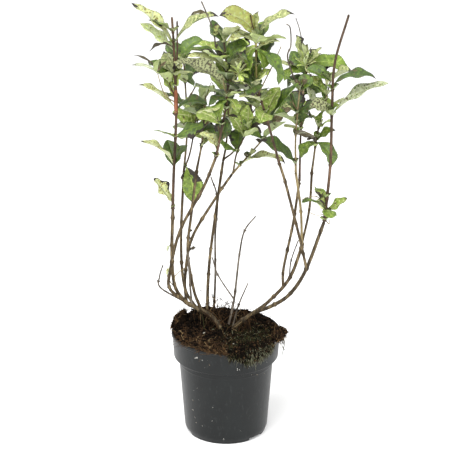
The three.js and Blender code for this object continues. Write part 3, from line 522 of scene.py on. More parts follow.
# A leaf's tones: above, below and how rough
TONES = dict(
    lime=((0.36, 0.45, 0.09), (0.40, 0.47, 0.16), 0.5),
    light=((0.50, 0.57, 0.29), (0.52, 0.58, 0.33), 0.55),
    young=((0.20, 0.212, 0.052), (0.23, 0.245, 0.08), 0.55),
    soft=((0.40, 0.43, 0.19), (0.42, 0.45, 0.25), 0.55),
    fresh=((0.21, 0.28, 0.055), (0.34, 0.40, 0.17), 0.55),
    grass=((0.12, 0.185, 0.02), (0.27, 0.33, 0.13), 0.45),
    olive=((0.24, 0.265, 0.105), (0.30, 0.33, 0.16), 0.55),
    mature=((0.07, 0.118, 0.018), (0.25, 0.30, 0.13), 0.4),
    old=((0.042, 0.072, 0.014), (0.20, 0.25, 0.115), 0.4),
    bronze=((0.085, 0.07, 0.028), (0.09, 0.076, 0.04), 0.5),
    pale=((0.36, 0.39, 0.25), (0.38, 0.41, 0.28), 0.6),
    veined=((0.25, 0.27, 0.13), (0.25, 0.27, 0.13), 0.6),
    dry=((0.19, 0.13, 0.085), (0.25, 0.19, 0.13), 0.7),
    withered=((0.035, 0.028, 0.016), (0.06, 0.05, 0.03), 0.7),
)
# Flecks of a tone that aren't only a darker shade of it
FLECKS = dict(young=(0.19, 0.16, 0.035), soft=(0.26, 0.27, 0.10), pale=(0.2, 0.23, 0.10),
              veined=(0.12, 0.12, 0.05))
FLECK_SHADE = 0.65
LOOKS = {}
LEAF_SKINS = []
for tone, (above, below, rough) in TONES.items():
    for side, colour in (("top", above), ("under", below)):
        LOOKS[tone, side] = len(LEAF_SKINS)
        LEAF_SKINS.append(finish(
            f"leaf_{tone}_{side}", colour, rough, 6, relief=0.3, share=0.06, gleam=0.4,
            fleck=FLECKS.get(tone, [c * FLECK_SHADE for c in colour])))
VEIN, SPOT, DRY, RUST = range(len(LEAF_SKINS), len(LEAF_SKINS) + 4)
LEAF_SKINS += [
    finish("leaf_vein", (0.05, 0.048, 0.018), 0.6, 6),
    finish("leaf_spot", (0.07, 0.05, 0.02), 0.7, 3, 0.35),
    finish("leaf_dry", (0.022, 0.017, 0.012), 0.8, 3, 0.4, relief=0.3),
    finish("leaf_rust", (0.17, 0.13, 0.03), 0.6, 4, 0.35),
]
# For each tone, the tone of its veins and the two that it is patched with
RIBS = dict(lime="light", light="pale", young="olive", soft="pale", fresh="soft", pale="veined",
            bronze="dry", grass="fresh", olive="soft", mature="grass", old="mature", dry="bronze")
PATCHES = dict(lime=("fresh", "young"), light=("soft", "lime"), young=(RUST, "fresh"),
               soft=(RUST, "young"), fresh=("grass", "young"), grass=("mature", "fresh"),
               olive=("mature", "soft"), mature=("old", "grass"), old=("mature", "bronze"),
               bronze=("old", "dry"), pale=("mature", "olive"), dry=(SPOT, "bronze"))
# Tones with small patches, and how fine the patches of these and of the others are
MOTTLED = ("young", "soft", "pale", "olive")
MOTTLES, BLOTCHES = (0.7, 1.9), (0.12, 0.7)
PATCH_ABOVE, PATCH_BELOW = 2.1, -2.3
VEIN_LINE, NET_LINE, NET_MESH = 0.16, 0.42, 0.25
SPOTS = dict(young=6, pale=3, fresh=2, veined=2)
SPOTTED_LENGTH = 50  # the leaf that has so many spots, or one where its tone isn't named
RIB_LINE, VEIN_REACH, NET_REACH = 0.06, 0.8, 0.75  # places across, from the rib to the edge
BASE_EDGE, LONG_EDGE = (0.08, 0.5, 0.45), (0.35, 0.95, 0)  # start, stop and how much wider
EDGE_DEPTH, EDGE_TIP = 0.62, 0.93

# Bark: its colour, its pale streaks, which are partly its own paler patches and partly painted highlight, and
# its cracks. Tan and green drift less.
BARK_TONES = dict(
    brown=((0.055, 0.038, 0.019), (0.22, 0.165, 0.085), (0.022, 0.014, 0.008)),
    red=((0.058, 0.036, 0.022), (0.15, 0.085, 0.052), (0.022, 0.012, 0.008)),
    tan=((0.19, 0.145, 0.07), (0.36, 0.29, 0.15), (0.04, 0.026, 0.013)),
    dark=((0.04, 0.028, 0.014), (0.14, 0.105, 0.055), (0.016, 0.01, 0.006)),
    peeled=((0.19, 0.065, 0.033), (0.3, 0.125, 0.065), (0.06, 0.024, 0.015)),
    # Green is a young stem's greenish tan, painted lighter to stand in for the light on the front right
    # shoot's upper stem.
    green=((0.23, 0.2, 0.07), (0.36, 0.33, 0.14), (0.1, 0.07, 0.03)),
    dead=((0.07, 0.056, 0.041), (0.17, 0.145, 0.115), (0.03, 0.024, 0.018)),
)
# The pale end of each bark's drift is streaked along the stems: painted highlight laid over the bark's own
# paler patches.
BARK_SKINS = [finish("bark_" + name, colour, 0.72, 4, 0.35 if name in ("tan", "green") else 0.75,
                     tint=light, relief=0.3, stretch=(1, 1, 0.14), fleck=crack, share=0.12, gleam=0.2)
              for name, (colour, light, crack) in BARK_TONES.items()]
BARK_SKINS.append(finish("bark_bud", (0.022, 0.014, 0.008), 0.7, 2, 0.4, relief=0.3, gleam=0.2))
BARK_LOOKS = {name: k for k, name in enumerate((*BARK_TONES, "bud"))}

POT_SKIN = finish("pot_plastic", (0.0030, 0.0041, 0.0042), 0.36, 20, 0.4, relief=0.12,
                  stretch=(1, 1, 0.4), fleck=(0.009, 0.0105, 0.0105), share=0.18, gleam=0.26)
DUST_SKIN = finish("pot_dust", (0.42, 0.41, 0.37), 0.9, 2, 0.3)
# What lies on the pot: name, colour, roughness, grain, drift, relief, gleam
GROUND_SKINS = [
    finish(name, colour, rough, size, spread, relief=relief, gleam=gleam)
    for name, colour, rough, size, spread, relief, gleam in (
        ("mix_peat", (0.0026, 0.0018, 0.0012), 0.95, 6, 0.6, 1.0, 0.05),
        ("mix_crumb", (0.0065, 0.004, 0.0023), 0.95, 4, 0.6, 0.6, 0.05),
        ("mix_bark", (0.022, 0.0115, 0.0055), 0.9, 5, 0.5, 0.5, 0.1),
        ("mix_fibre", (0.05, 0.027, 0.011), 0.85, 6, 0.45, 0, 0.1),
        ("mix_straw", (0.13, 0.088, 0.042), 0.8, 6, 0.35, 0, 0.15),
        ("mix_chip", (0.25, 0.24, 0.2), 0.9, 3, 0.2, 0, 0.5),
        ("moss_dark", (0.0065, 0.0065, 0.0028), 0.95, 4, 0.5, 0, 0.1),
        ("moss_green", (0.032, 0.034, 0.012), 0.9, 4, 0.4, 0, 0.1),
        ("moss_pale", (0.17, 0.17, 0.11), 0.9, 4, 0.3, 0, 0.15))]
PEAT, CRUMB, CHIP_BARK, FIBRE, STRAW, CHIP, MOSS_DARK, MOSS_GREEN, MOSS_PALE = range(9)
MIX_SKINS = GROUND_SKINS[:MOSS_DARK]


# Stems

def stem_rings(run, girth, knots, sides, seed):
    """Rings of a limb with lengthwise ridges, swollen joints and a flared foot"""
    length = run.length()
    share = np.linspace(0, 1, max(8, round(length / STEM_STEP)) + 1)
    z = share[:, None] * length
    angle = turns(sides)
    radius = mix(*girth, share[:, None]) * (1 + FOOT_FLARE * np.exp(-z / FLARE_RISE))
    ridges = sum(high * np.sin(count * angle + twist * z + shift * seed)
                 for high, count, twist, shift in RIDGES)
    full = radius * (1 + ridges)
    for k, knot in enumerate(knots):
        ring = np.exp(-((share - knot) * length / KNOT_RISE) ** 2)[:, None]
        full = full * (1 + ring * (KNOT_SWELL + SCAR_SWELL * np.cos(angle + k * math.pi / 2) ** 2))
    full[-1] *= TIP_CLOSE
    return sweep(run.at(share), full, full, sides)


def add_stem(heap, run, girth, bark, knots=(), sides=12, seed=0, buds=True, patch=None):
    """A limb and, at each joint, a pair of small buds in opposite leaf scars"""
    rings = stem_rings(run, girth, knots, sides, seed)
    share = np.linspace(0, 1, len(rings))
    start, stop, other, swell = patch or (2, 3, bark, 0)
    inside = smooth(start, start + PATCH_FADE, share) - smooth(stop - PATCH_FADE, stop, share)
    centre = rings.mean(axis=1, keepdims=True)
    rings = centre + (rings - centre) * (1 + swell * inside)[:, None, None]
    heap.add(rings, np.where(inside[1:, None] > 0.1, BARK_LOOKS[other], BARK_LOOKS[bark]))
    for k, knot in enumerate(knots if buds else ()):
        low = max(0, knot - 0.01)
        along = unit(run.at(low + 0.01) - run.at(low))[0]
        level = unit(np.cross(along, (math.sin(seed + k), math.cos(seed + k), 0.2)))
        for way in (level, -level):
            foot = run.at(knot)[0] + way * mix(*girth, knot) * 0.7
            ends = foot + np.outer(BUD["out"], way) + np.outer(BUD["up"], along)
            heap.add(sweep(ends, np.array(BUD["wide"]), np.array(BUD["deep"]), 6), BARK_LOOKS["bud"])


# Leaves

def leaf_line(leaf, steps):
    """A leaf's midrib in that many steps, with the ways across and up at each place"""
    def along(share):
        rise = np.radians(leaf["rise"] - leaf["droop"] * share)
        heading = np.radians(leaf["heading"] + leaf["swing"] * share)
        flat = np.cos(rise)
        return np.stack((flat * np.cos(heading), flat * np.sin(heading), np.sin(rise)), -1), heading
    share = np.linspace(0, 1, steps + 1)
    ways, heading = along(share)
    level = np.stack((-np.sin(heading), np.cos(heading), 0 * heading), -1)
    roll = math.radians(leaf["roll"])
    across = level * math.cos(roll) + np.cross(ways, level) * math.sin(roll)
    strides, _ = along((share[1:] + share[:-1]) / 2)
    start = leaf["base"] - ways[0] * ROOT
    places = start + np.vstack((np.zeros(3), np.cumsum(strides, axis=0))) * leaf["length"] / steps
    return share, places, across, np.cross(ways, across)


def leaf_corners():
    """Where the corners of a leaf's ring lie across it, from -1 to 1: over the top, then back"""
    lanes = np.array(LANES)
    return np.concatenate((lanes, -lanes[-2::-1], -lanes[1:-1], lanes[-1:0:-1]))


ACROSS = leaf_corners()
TOP_CORNERS = len(LANES) * 2 - 1


def add_leaf(heap, leaf, rng):
    """One leaf: toothed edges, sunken veins between raised cushions, a stalk, and withered places"""
    tone, *marks = leaf["look"].split()
    length = leaf["length"]
    share, place, across, up = leaf_line(leaf, max(12, round(length / LEAF_STEP)))
    blade = np.clip((share - STALK) / (1 - STALK), 0, 1)
    egg = np.sin(math.pi * blade ** EGG_WIDEST).clip(0) ** EGG_FULLNESS
    half = mix(STALK_HALF, TIP_HALF, share) + math.sqrt(length) * LEAF_HALF_WIDTH * leaf["broad"] * egg
    dry_from = 1.1
    if "tip" in marks or tone == "withered":
        dry_from = rng.uniform(*DRY_FROM)
        half = half * (1 - DRY_SHRINK * smooth(dry_from - 0.05, 1, share))
        curl = rng.choice((-1, 1)) * DRY_CURL * length * smooth(0.82, 1.1, share) ** 2
        place = place + up * curl[:, None]
    if tone == "withered":
        half = half * WITHERED_SHRINK

    veins = max(4, round(length / (NET_VEIN_GAP if tone == "veined" else VEIN_GAP)))
    side = np.abs(ACROSS)
    share, blade, egg, half = (row[:, None] for row in (share, blade, egg, half))
    between = np.abs(np.sin(math.pi * (veins * (blade - VEIN_SLANT * side ** VEIN_CURVE))))
    cushions = between ** 0.6 * (1 - side ** 3) * smooth(0.02, 0.2, side)
    tooth = np.where(np.arange(len(place)) % 2, 1.0, TOOTH)[:, None] ** (side == 1)
    width = half * side * np.where(egg > 0.08, tooth, 1)
    bend = FOLD_GAIN * leaf["fold"] * half * side ** 1.1 - EDGE_DROP * half * side ** 4
    wave = (WAVE * half * side ** 3
            * np.sin(2 * math.pi * (WAVES * share + rng.uniform()) + 1.5 * np.sign(ACROSS)))
    if tone == "withered" or "edge" in marks:
        wave = wave * 2
    raised = CUSHION * np.minimum(half, CUSHION_WIDEST) * cushions
    groove = GROOVE * (np.exp(-(side / GROOVE_WIDTH) ** 2) * egg)
    body = mix(BLADE_HALF, ROOT_BLADE_HALF, np.exp(-share / 0.05)) * (1 - side ** 4)
    rib = RIB_DEPTH * np.exp(-(side / RIB_WIDTH) ** 2) * (1 - 0.8 * share)
    above = np.arange(len(ACROSS)) < TOP_CORNERS
    height = bend + wave + raised - groove + np.where(above, body, -body - rib)
    rings = (place[:, None] + across[:, None] * (np.sign(ACROSS) * width)[..., None]
             + up[:, None] * height[..., None])
    heap.add(rings, leaf_looks(length, tone, marks, dry_from, veins, rng,
                               *((row[1:] + row[:-1]) / 2 for row in (share, blade, half))))


def leaf_looks(length, tone, marks, dry_from, veins, rng, share, blade, half):
    """The look of each of a leaf's faces: its tone, patches, veins, spots and withered places"""
    u = (ACROSS + np.roll(ACROSS, -1)) / 2
    far = np.abs(u)
    above = np.arange(len(u)) < TOP_CORNERS - 1
    looks = np.where(above, LOOKS[tone, "top"], LOOKS[tone, "under"])
    looks = np.broadcast_to(looks, (len(share), len(u))).copy()
    vein = np.abs(np.sin(math.pi * veins * (blade - VEIN_SLANT * far ** VEIN_CURVE)))
    if tone in PATCHES:
        low, high = MOTTLES if tone in MOTTLED else BLOTCHES
        waves = [np.sin(ahead * share * length + out * u * half + start) for ahead, out, start
                 in zip(rng.uniform(low, high, 5), rng.normal(0, high, 5), rng.uniform(0, 6.28, 5))]
        field = sum(waves) + 0.8 * vein - 0.5
        for look, patch in zip(PATCHES[tone], (field > PATCH_ABOVE, field < PATCH_BELOW)):
            looks[patch & above] = LOOKS.get((look, "top"), look)
    if tone in RIBS:
        looks[:, (far < RIB_LINE) & ~above] = LOOKS["pale", "under"]
        looks[above & ((far < RIB_LINE) | (vein < VEIN_LINE) & (far < VEIN_REACH))] = LOOKS[RIBS[tone], "top"]
    if tone == "veined":
        net = np.abs(np.sin(0.9 * length * share + 5 * u)) < NET_MESH
        looks[(vein < NET_LINE) | (net & (far < NET_REACH))] = VEIN
    for _ in range(rng.poisson(SPOTS.get(tone, 1) * length / SPOTTED_LENGTH)):
        at, out, size = rng.uniform(0.15, 0.95), rng.uniform(-0.9, 0.9), rng.uniform(0.7, 1.7)
        looks[((share - at) * length) ** 2 + ((u - out) * half) ** 2 < size ** 2] = SPOT
    looks[share > dry_from + 0.04 * np.sin(7 * u)] = DRY
    if "edge" in marks:
        way = 1 if "right" in marks else -1 if "left" in marks else rng.choice((-1, 1))
        start, stop, wider = BASE_EDGE if "base" in marks else LONG_EDGE
        rag = EDGE_DEPTH + 0.12 * np.sin(23 * share) + 0.08 * np.sin(41 * share) - wider
        looks[(u * way > rag) & (share > start) & (share < stop)] = DRY
        looks[share[:, 0] > EDGE_TIP] = DRY
    return looks


# The rule that grows the masses

def corner_tree(node):
    """The corners of a solid, in millimetres, to look up"""
    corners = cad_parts[node].data.vertices
    tree = KDTree(len(corners))
    for k, corner in enumerate(corners):
        tree.insert(corner.co / MM, k)
    tree.balance()
    return tree


def as_grown(tree, leaf):
    """The leaf as the solid has it, turned or shrunk, or None where the solid has none"""
    for shrink in SHRINKS:
        for turn in TURNS:
            tried = dict(leaf, heading=leaf["heading"] + turn, length=leaf["length"] * shrink)
            tip = leaf_line(tried, COARSE_RIBS)[1][-1]
            if tree.find(tip)[2] < MATCH:
                return tried
    return None


def bent_leaf(base, right, back, up, droop, roll, look, broad=1):
    """A leaf bent evenly from its root to its tip, which lies that far from the root"""
    level = math.hypot(right, back)
    bend = math.radians(droop) / 2
    length = math.hypot(level, up) * (bend / math.sin(bend) if droop else 1)
    return dict(base=base, heading=math.degrees(math.atan2(back, right)), length=length, roll=roll,
                rise=math.degrees(math.atan2(up, level)) + droop / 2, droop=droop, look=look,
                broad=broad, swing=0, fold=OWN_FOLD)


def pair_leaf(mass, draw, base, heading, height):
    """A leaf of an ordinary pair, lower and more drooping down the stem"""
    kept = next(draw) >= mass["lost"]
    leaf = dict(base=base, heading=heading + mix(*HEADING_SPREAD, next(draw)))
    leaf["rise"] = mix(*RISES, height) + mix(*RISE_SPREAD, next(draw))
    leaf["droop"] = mix(*DROOPS, height) * mix(*DROOP_SPREAD, next(draw))
    leaf["length"] = mass["leaf"] * mix(*LENGTH_SPREAD, next(draw)) * mix(*LENGTHS, height ** 3)
    for key, (low, high) in PAIR_SPREADS.items():
        leaf[key] = mix(low, high, next(draw))
    return leaf if kept else None


def side_twig(foot, heading, rise, length):
    """The run of a side shoot"""
    level = length * math.cos(math.radians(rise))
    reach = (math.cos(math.radians(heading)) * level, math.sin(math.radians(heading)) * level,
             length * math.sin(math.radians(rise)))
    return Run((foot, foot + np.array(reach) / 2 - (0, 0, TWIG_SAG * length), foot + reach))


def budding(leaves, base, rng, palette, length, count):
    """Small young leaves in an axil or at a tip"""
    start = rng.uniform(0, 360)
    for k in range(count):
        leaf = dict(base=base, heading=start + 360 * k / count + rng.uniform(-15, 15))
        leaf.update({key: rng.uniform(*limits) for key, limits in BUD_LEAVES.items()})
        leaf["length"] *= length
        leaf["look"] = rng.choice(palette) + rng.choice(["", " tip"])
        add_leaf(leaves, leaf, rng)


def grow_mass(node, mass, run):
    """One mass of foliage: its leaves as one piece and its stem with side shoots as another"""
    tree = corner_tree(node)
    draw = draws(mass["seed"])
    rng = np.random.RandomState(mass["seed"])
    palette = mass["looks"].split()
    leaves, twigs = Heap(), Heap()
    found = [bent_leaf(run.at(at)[0], *shape) for at, *shape in mass["own"]]
    for at, heading, rise, length in mass["twigs"]:
        shoot = side_twig(run.at(at)[0], heading, rise, length)
        if tree.find(shoot.at(1)[0])[2] > TWIG_MATCH:
            continue
        add_stem(twigs, shoot, TWIG_GIRTH, mass["bark"], TWIG_KNOTS, sides=8, seed=at, buds=False)
        bud = shoot.at(TWIG_BUD)[0]
        found += [pair_leaf(mass, draw, bud, heading + turn, TWIG_HEIGHT) for turn in TWIG_TURNS]
    for k, at in enumerate(mass["pairs"]):
        found += [pair_leaf(mass, draw, run.at(at)[0], mass["turn"] + 90 * k + turn, at)
                  for turn in (0, 180)]
    grown = [as_grown(tree, leaf) for leaf in found if leaf]
    for leaf in filter(None, grown):
        if "look" not in leaf:
            leaf["look"] = rng.choice(palette) + rng.choice(["", "", "", " tip", " edge"])
        add_leaf(leaves, leaf, rng)
    knots = sorted({*mass["pairs"], *(round(own[0], 1) for own in mass["own"])})
    for at in knots:
        budding(leaves, run.at(at)[0], rng, palette, rng.uniform(6, 13), 2)
    if node not in BARE_TOPS:
        budding(leaves, run.at(1)[0] - (0, 0, 2), rng, palette, 0.4 * mass["leaf"], 4)
    add_stem(twigs, run, mass["girth"], mass["bark"], knots, sides=10, seed=mass["seed"],
             patch=mass["patch"])
    leaves.build(node.replace("foliage", "leaves"), LEAF_SKINS, "leaf", node)
    twigs.build(node.replace("foliage", "shoots"), BARK_SKINS, "bark", node)


def make_limb(node, limb, run, seed):
    """One limb, cane or dead twig"""
    heap = Heap()
    add_stem(heap, run, limb["girth"], limb["bark"], limb["knots"], seed=seed)
    heap.build(node + "_bark", BARK_SKINS, "deadwood" if limb["bark"] == "dead" else "bark", node)


def make_fine_twigs(runs):
    """The fine twigs as one piece"""
    heap = Heap()
    for k, (on, at, way, girth, bark) in enumerate(FINE_TWIGS):
        add_stem(heap, Run((runs[on].at(at)[0], *way)), girth, bark, (0.4, 0.97), 8, k, buds=False)
    heap.build("fine_twigs", BARK_SKINS, "deadwood")


def make_fine_leaves():
    """The small leaves as one piece"""
    rng = np.random.RandomState(91)
    heap = Heap()
    for base, *found in FINE_LEAVES:
        for shape in found:
            add_leaf(heap, bent_leaf(np.array(base, float), *shape), rng)
    heap.build("fine_leaves", LEAF_SKINS, "leaf")


# The pot

BODY_RINGS, LINE_RINGS, BAND_RINGS = 40, 14, 12
BODY_LINE = 103  # the height of a faint line round the body
LINE_BULGE, LINE_WIDTH = 0.25, 0.9
LIP_DEPTH, UNDER_LIP = 5.2, 3.8
FOOT_BEAD, BAND_BEAD, UNDER_LIP_BEAD = 1.2, 1.5, 0.8
SHARP_FROM = 32


def body_radius(z):
    """Outer radius of the pot's body, with its bevelled foot"""
    return np.interp(z, (FOOT_BEAD, BEVEL_RISE, BAND_FOOT),
                     (BASE_RADIUS, BASE_RADIUS + BEVEL_WIDTH, BODY_RADIUS))


def arc(r, z, radius, start, stop, steps=6):
    """Places round a rounded edge of the pot's profile"""
    angles = np.radians(np.linspace(start, stop, steps + 1))
    return [(r + radius * math.cos(a), z + radius * math.sin(a)) for a in angles]


def make_pot():
    """The pot, turned finely, with a rounded lip, a collar, a ring under it and a notched foot"""
    inner, outer, deep = FOOT_GROOVE
    heights = np.unique(np.append(np.linspace(2, BAND_FOOT - 1, BODY_RINGS),
                                  np.linspace(BODY_LINE - 3, BODY_LINE + 3, LINE_RINGS)))
    profile = [(0.5, 0), (inner, 0), (inner + 1, deep), (outer - 1, deep), (outer, 0)]
    profile += arc(BASE_RADIUS - FOOT_BEAD, FOOT_BEAD, FOOT_BEAD, -90, -15)
    profile += [(body_radius(z) + LINE_BULGE * math.exp(-((z - BODY_LINE) / LINE_WIDTH) ** 2), z)
                for z in heights]
    profile += [(BODY_RADIUS + 0.3, BAND_FOOT - 0.1)]
    profile += arc(BAND_RADIUS - BAND_BEAD, BAND_FOOT + BAND_BEAD, BAND_BEAD, -90, 0)
    profile += [(mix(BAND_RADIUS, LIP_RADIUS - LIP_BEAD, t), mix(BAND_FOOT + 1.6, POT_HEIGHT - LIP_DEPTH, t))
                for t in np.linspace(0, 1, BAND_RINGS)]
    profile += arc(LIP_RADIUS - UNDER_LIP_BEAD, POT_HEIGHT - UNDER_LIP, UNDER_LIP_BEAD, -60, 0)
    profile += arc(LIP_RADIUS - LIP_BEAD, POT_HEIGHT - LIP_BEAD, LIP_BEAD, 0, 180)
    profile += [(LIP_RADIUS - LIP_WIDTH, POT_HEIGHT - 3), (BAND_RADIUS - WALL, BAND_FOOT + 3),
                (BODY_RADIUS - WALL, BAND_FOOT + 1), (BASE_RADIUS, FLOOR), (0.5, FLOOR)]
    shell = Heap()
    shell.add(lathe(profile, POT_SIDES))
    pot = shell.build("pot_shell", [POT_SKIN], "pot", "pot", sharp=SHARP_FROM)
    cutters = Heap()
    for turn in turns(FOOT_NOTCHES["count"]):
        way = math.radians(FOOT_NOTCHES["first"]) + turn
        out = np.array((math.cos(way), math.sin(way), 0))
        ends = np.array([out * (outer - 3), out * (BASE_RADIUS + 3)])
        level = np.array((-math.sin(way), math.cos(way), 0)) * FOOT_NOTCHES["width"] / 2
        up = np.array((0, 0, FOOT_NOTCHES["height"]))
        corners = [ends[:, None] + side for side in (-level - up, level - up, level + up, -level + up)]
        cutters.add(np.concatenate(corners, axis=1))
    cutter = cutters.build("foot_cutter", [POT_SKIN], "pot")
    cut = pot.modifiers.new("notches", "BOOLEAN")
    cut.operation, cut.object, cut.solver = "DIFFERENCE", cutter, "EXACT"
    bpy.context.view_layer.update()
    whole = pot.evaluated_get(bpy.context.evaluated_depsgraph_get())
    pot.data = bpy.data.meshes.new_from_object(whole)
    pot.modifiers.clear()
    bpy.data.objects.remove(cutter)


# The potting mix

MOUNDS = ((9, -34, 40, 1300), (5, 2, 0, 260))  # height, x, y and spread, as in the solids
CLOD_HEIGHTS = (1.5, 0.9, 0.35)
CRUMB_REACH = 70


def mix_height(x, y):
    """Height of the potting mix, as in the solids"""
    level = MIX_LEVEL
    for high, right, back, spread in MOUNDS:
        level = level + high * np.exp(-((x - right) ** 2 + (y - back) ** 2) / spread)
    return level + (1.5 * np.sin(x * 0.23 + 1.3) * np.cos(y * 0.19) + np.sin(x * 0.11 - y * 0.31))


def rough_height(x, y):
    """The mix's height with its clods"""
    near = 1 - smooth(66, MIX_RADIUS, np.hypot(x, y))
    big, small, tiny = CLOD_HEIGHTS
    clods = (big * np.sin(x * 0.41 + 2 * np.sin(y * 0.27)) * np.sin(y * 0.43 + 1.7 * np.sin(x * 0.23))
             + small * np.sin(x * 0.91 + 1.5 * np.sin(y * 0.6)) * np.cos(y * 0.87 - x * 0.4)
             + tiny * np.sin(x * 2.3 - y * 1.9 + 1) * np.sin(y * 2.7 + x))
    return mix_height(x, y) + clods * mix(0.4, 1, near)


def on_mix(x, y):
    """The place on the mix's rough top"""
    return np.array((x, y, rough_height(x, y)))


def on_ring(heading, r, z):
    """The place at a heading in degrees, a distance from the axis and a height"""
    return np.array((r * math.cos(math.radians(heading)), r * math.sin(math.radians(heading)), z))


def make_mix():
    """The block of potting mix that fills the pot, with its rough top"""
    wall = [(0.5, FLOOR + 0.3), (BASE_RADIUS - 0.5, FLOOR + 0.3),
            (BODY_RADIUS - WALL - 0.5, BAND_FOOT + 1), (BAND_RADIUS - WALL - 0.5, BAND_FOOT + 3.6),
            (MIX_RADIUS, POT_HEIGHT - 5)]
    radii = np.append(np.arange(MIX_RADIUS, MIX_STEP, -MIX_STEP), 0.4)
    rings = lathe(wall + [(r, POT_HEIGHT) for r in radii], MIX_SIDES)
    top = rings[len(wall):]
    top[..., 2] = rough_height(top[..., 0], top[..., 1])
    heap = Heap()
    heap.add(rings, PEAT)
    heap.build("mix_block", MIX_SKINS, "mix", "potting_mix")


def lump_rings(rng):
    """A small rough lump of unit size"""
    rows, sides = 5, 7
    angle = np.linspace(0.3, math.pi - 0.3, rows)[:, None]
    turn = turns(sides)
    ball = np.stack((np.sin(angle) * np.cos(turn), np.sin(angle) * np.sin(turn),
                     -np.cos(angle) * np.ones(sides)), -1)
    ball = ball * rng.uniform(0.65, 1.15, (rows, sides, 1))
    turned = np.linalg.qr(rng.normal(size=(3, 3)))[0]
    if np.linalg.det(turned) < 0:
        turned[:, 0] *= -1
    return ball @ turned.T


def in_pot(rng, reach=CRUMB_REACH):
    """A random place on the mix's top"""
    angle, r = rng.uniform(0, 2 * math.pi), reach * math.sqrt(rng.uniform())
    return r * math.cos(angle), r * math.sin(angle)


CLODS, RIM_CRUMBS, CRUMBS = 500, 400, 1900
CLOD_SIZES, RIM_SIZES, CRUMB_SIZES = (1.6, 3.2), (0.8, 2.6), (0.5, 1.7)
RIM_HEADINGS, RIM_RADII = (-10, 190), (67, 72)
CRUMB_SHARES = {PEAT: 0.42, CRUMB: 0.436, CHIP_BARK: 0.14, CHIP: 0.004}


def make_crumbs():
    """Clods of peat, crumbs along the rim at the back, then crumbs, bark and pale chips all over"""
    rng = np.random.RandomState(21)
    heap = Heap()
    for k in range(CLODS + RIM_CRUMBS + CRUMBS):
        x, y = in_pot(rng)
        size = rng.uniform(*CRUMB_SIZES) ** 1.4
        lowest = 0
        if k < CLODS:
            size = rng.uniform(*CLOD_SIZES)
        elif k < CLODS + RIM_CRUMBS:
            x, y, lowest = on_ring(rng.uniform(*RIM_HEADINGS), rng.uniform(*RIM_RADII), POT_HEIGHT - 2.5)
            size = rng.uniform(*RIM_SIZES)
        look = pick(rng, CRUMB_SHARES)
        spot = (x, y, max(rough_height(x, y), lowest) + 0.25 * size)
        heap.add(lump_rings(rng) * (size, size * rng.uniform(0.5, 1), size * 0.7) + spot, look)
    heap.build("mix_crumbs", MIX_SKINS, "mix")


FRONT_FIBRES, LOOSE_FIBRES, LONG_EVERY = 380, 260, 9
FRONT_HEADINGS, FRONT_RADII, LOOSE_REACH = (195, 285), (44, 69), 64
FIBRE_STEPS, FIBRE_HALF = 9, 0.22
FIBRE_LENGTHS, FIBRE_BEND = (8, 30), 0.16
LONG_LENGTHS, LONG_BEND, LONG_THIN = (30, 55), 0.05, 0.5
FIBRE_SHARES = {FIBRE: 0.4, CHIP_BARK: 0.32, STRAW: 0.1, CRUMB: 0.18}


def fibre_line(rng, start, heading, length, bend):
    """A line that wanders over the mix, and over the lip where it comes to it"""
    headings = (math.radians(heading) + np.cumsum(rng.normal(0, bend, FIBRE_STEPS))
                + rng.normal(0, bend) * np.arange(FIBRE_STEPS))
    strides = np.stack((np.cos(headings), np.sin(headings)), -1) * length / FIBRE_STEPS
    x, y = (start + np.vstack((np.zeros(2), np.cumsum(strides, axis=0)))).T
    z = rough_height(x, y) + np.sin(np.linspace(0, math.pi, FIBRE_STEPS + 1)) * rng.uniform(0.5, 2)
    z = mix(z, np.maximum(z, POT_HEIGHT + 0.8), smooth(68, 73, np.hypot(x, y)))
    return np.column_stack((x, y, z))


def make_fibres():
    """Bark fibres and roots: most in a brown mat along the front, others scattered, some in long arcs"""
    rng = np.random.RandomState(33)
    heap = Heap()
    for k in range(FRONT_FIBRES + LOOSE_FIBRES):
        length, bend, thin = rng.uniform(*FIBRE_LENGTHS), FIBRE_BEND, 1
        if k < FRONT_FIBRES:
            heading = rng.uniform(*FRONT_HEADINGS)
            start = on_ring(heading, rng.uniform(*FRONT_RADII), 0)[:2]
            way = heading + rng.choice((80, -100)) + rng.normal(0, 25)
        else:
            start, way = np.array(in_pot(rng, LOOSE_REACH)), rng.uniform(0, 360)
        if k % LONG_EVERY == 0:
            length, bend, thin = rng.uniform(*LONG_LENGTHS), LONG_BEND, LONG_THIN
        line = fibre_line(rng, start, way, length, bend)
        look = pick(rng, FIBRE_SHARES)
        wide = thin * rng.uniform(0.25, 1.1) * np.sin(np.linspace(0.5, 2.7, len(line)))
        heap.add(sweep(line, wide, FIBRE_HALF, 5), look)
    heap.build("mix_fibres", MIX_SKINS, "mix")


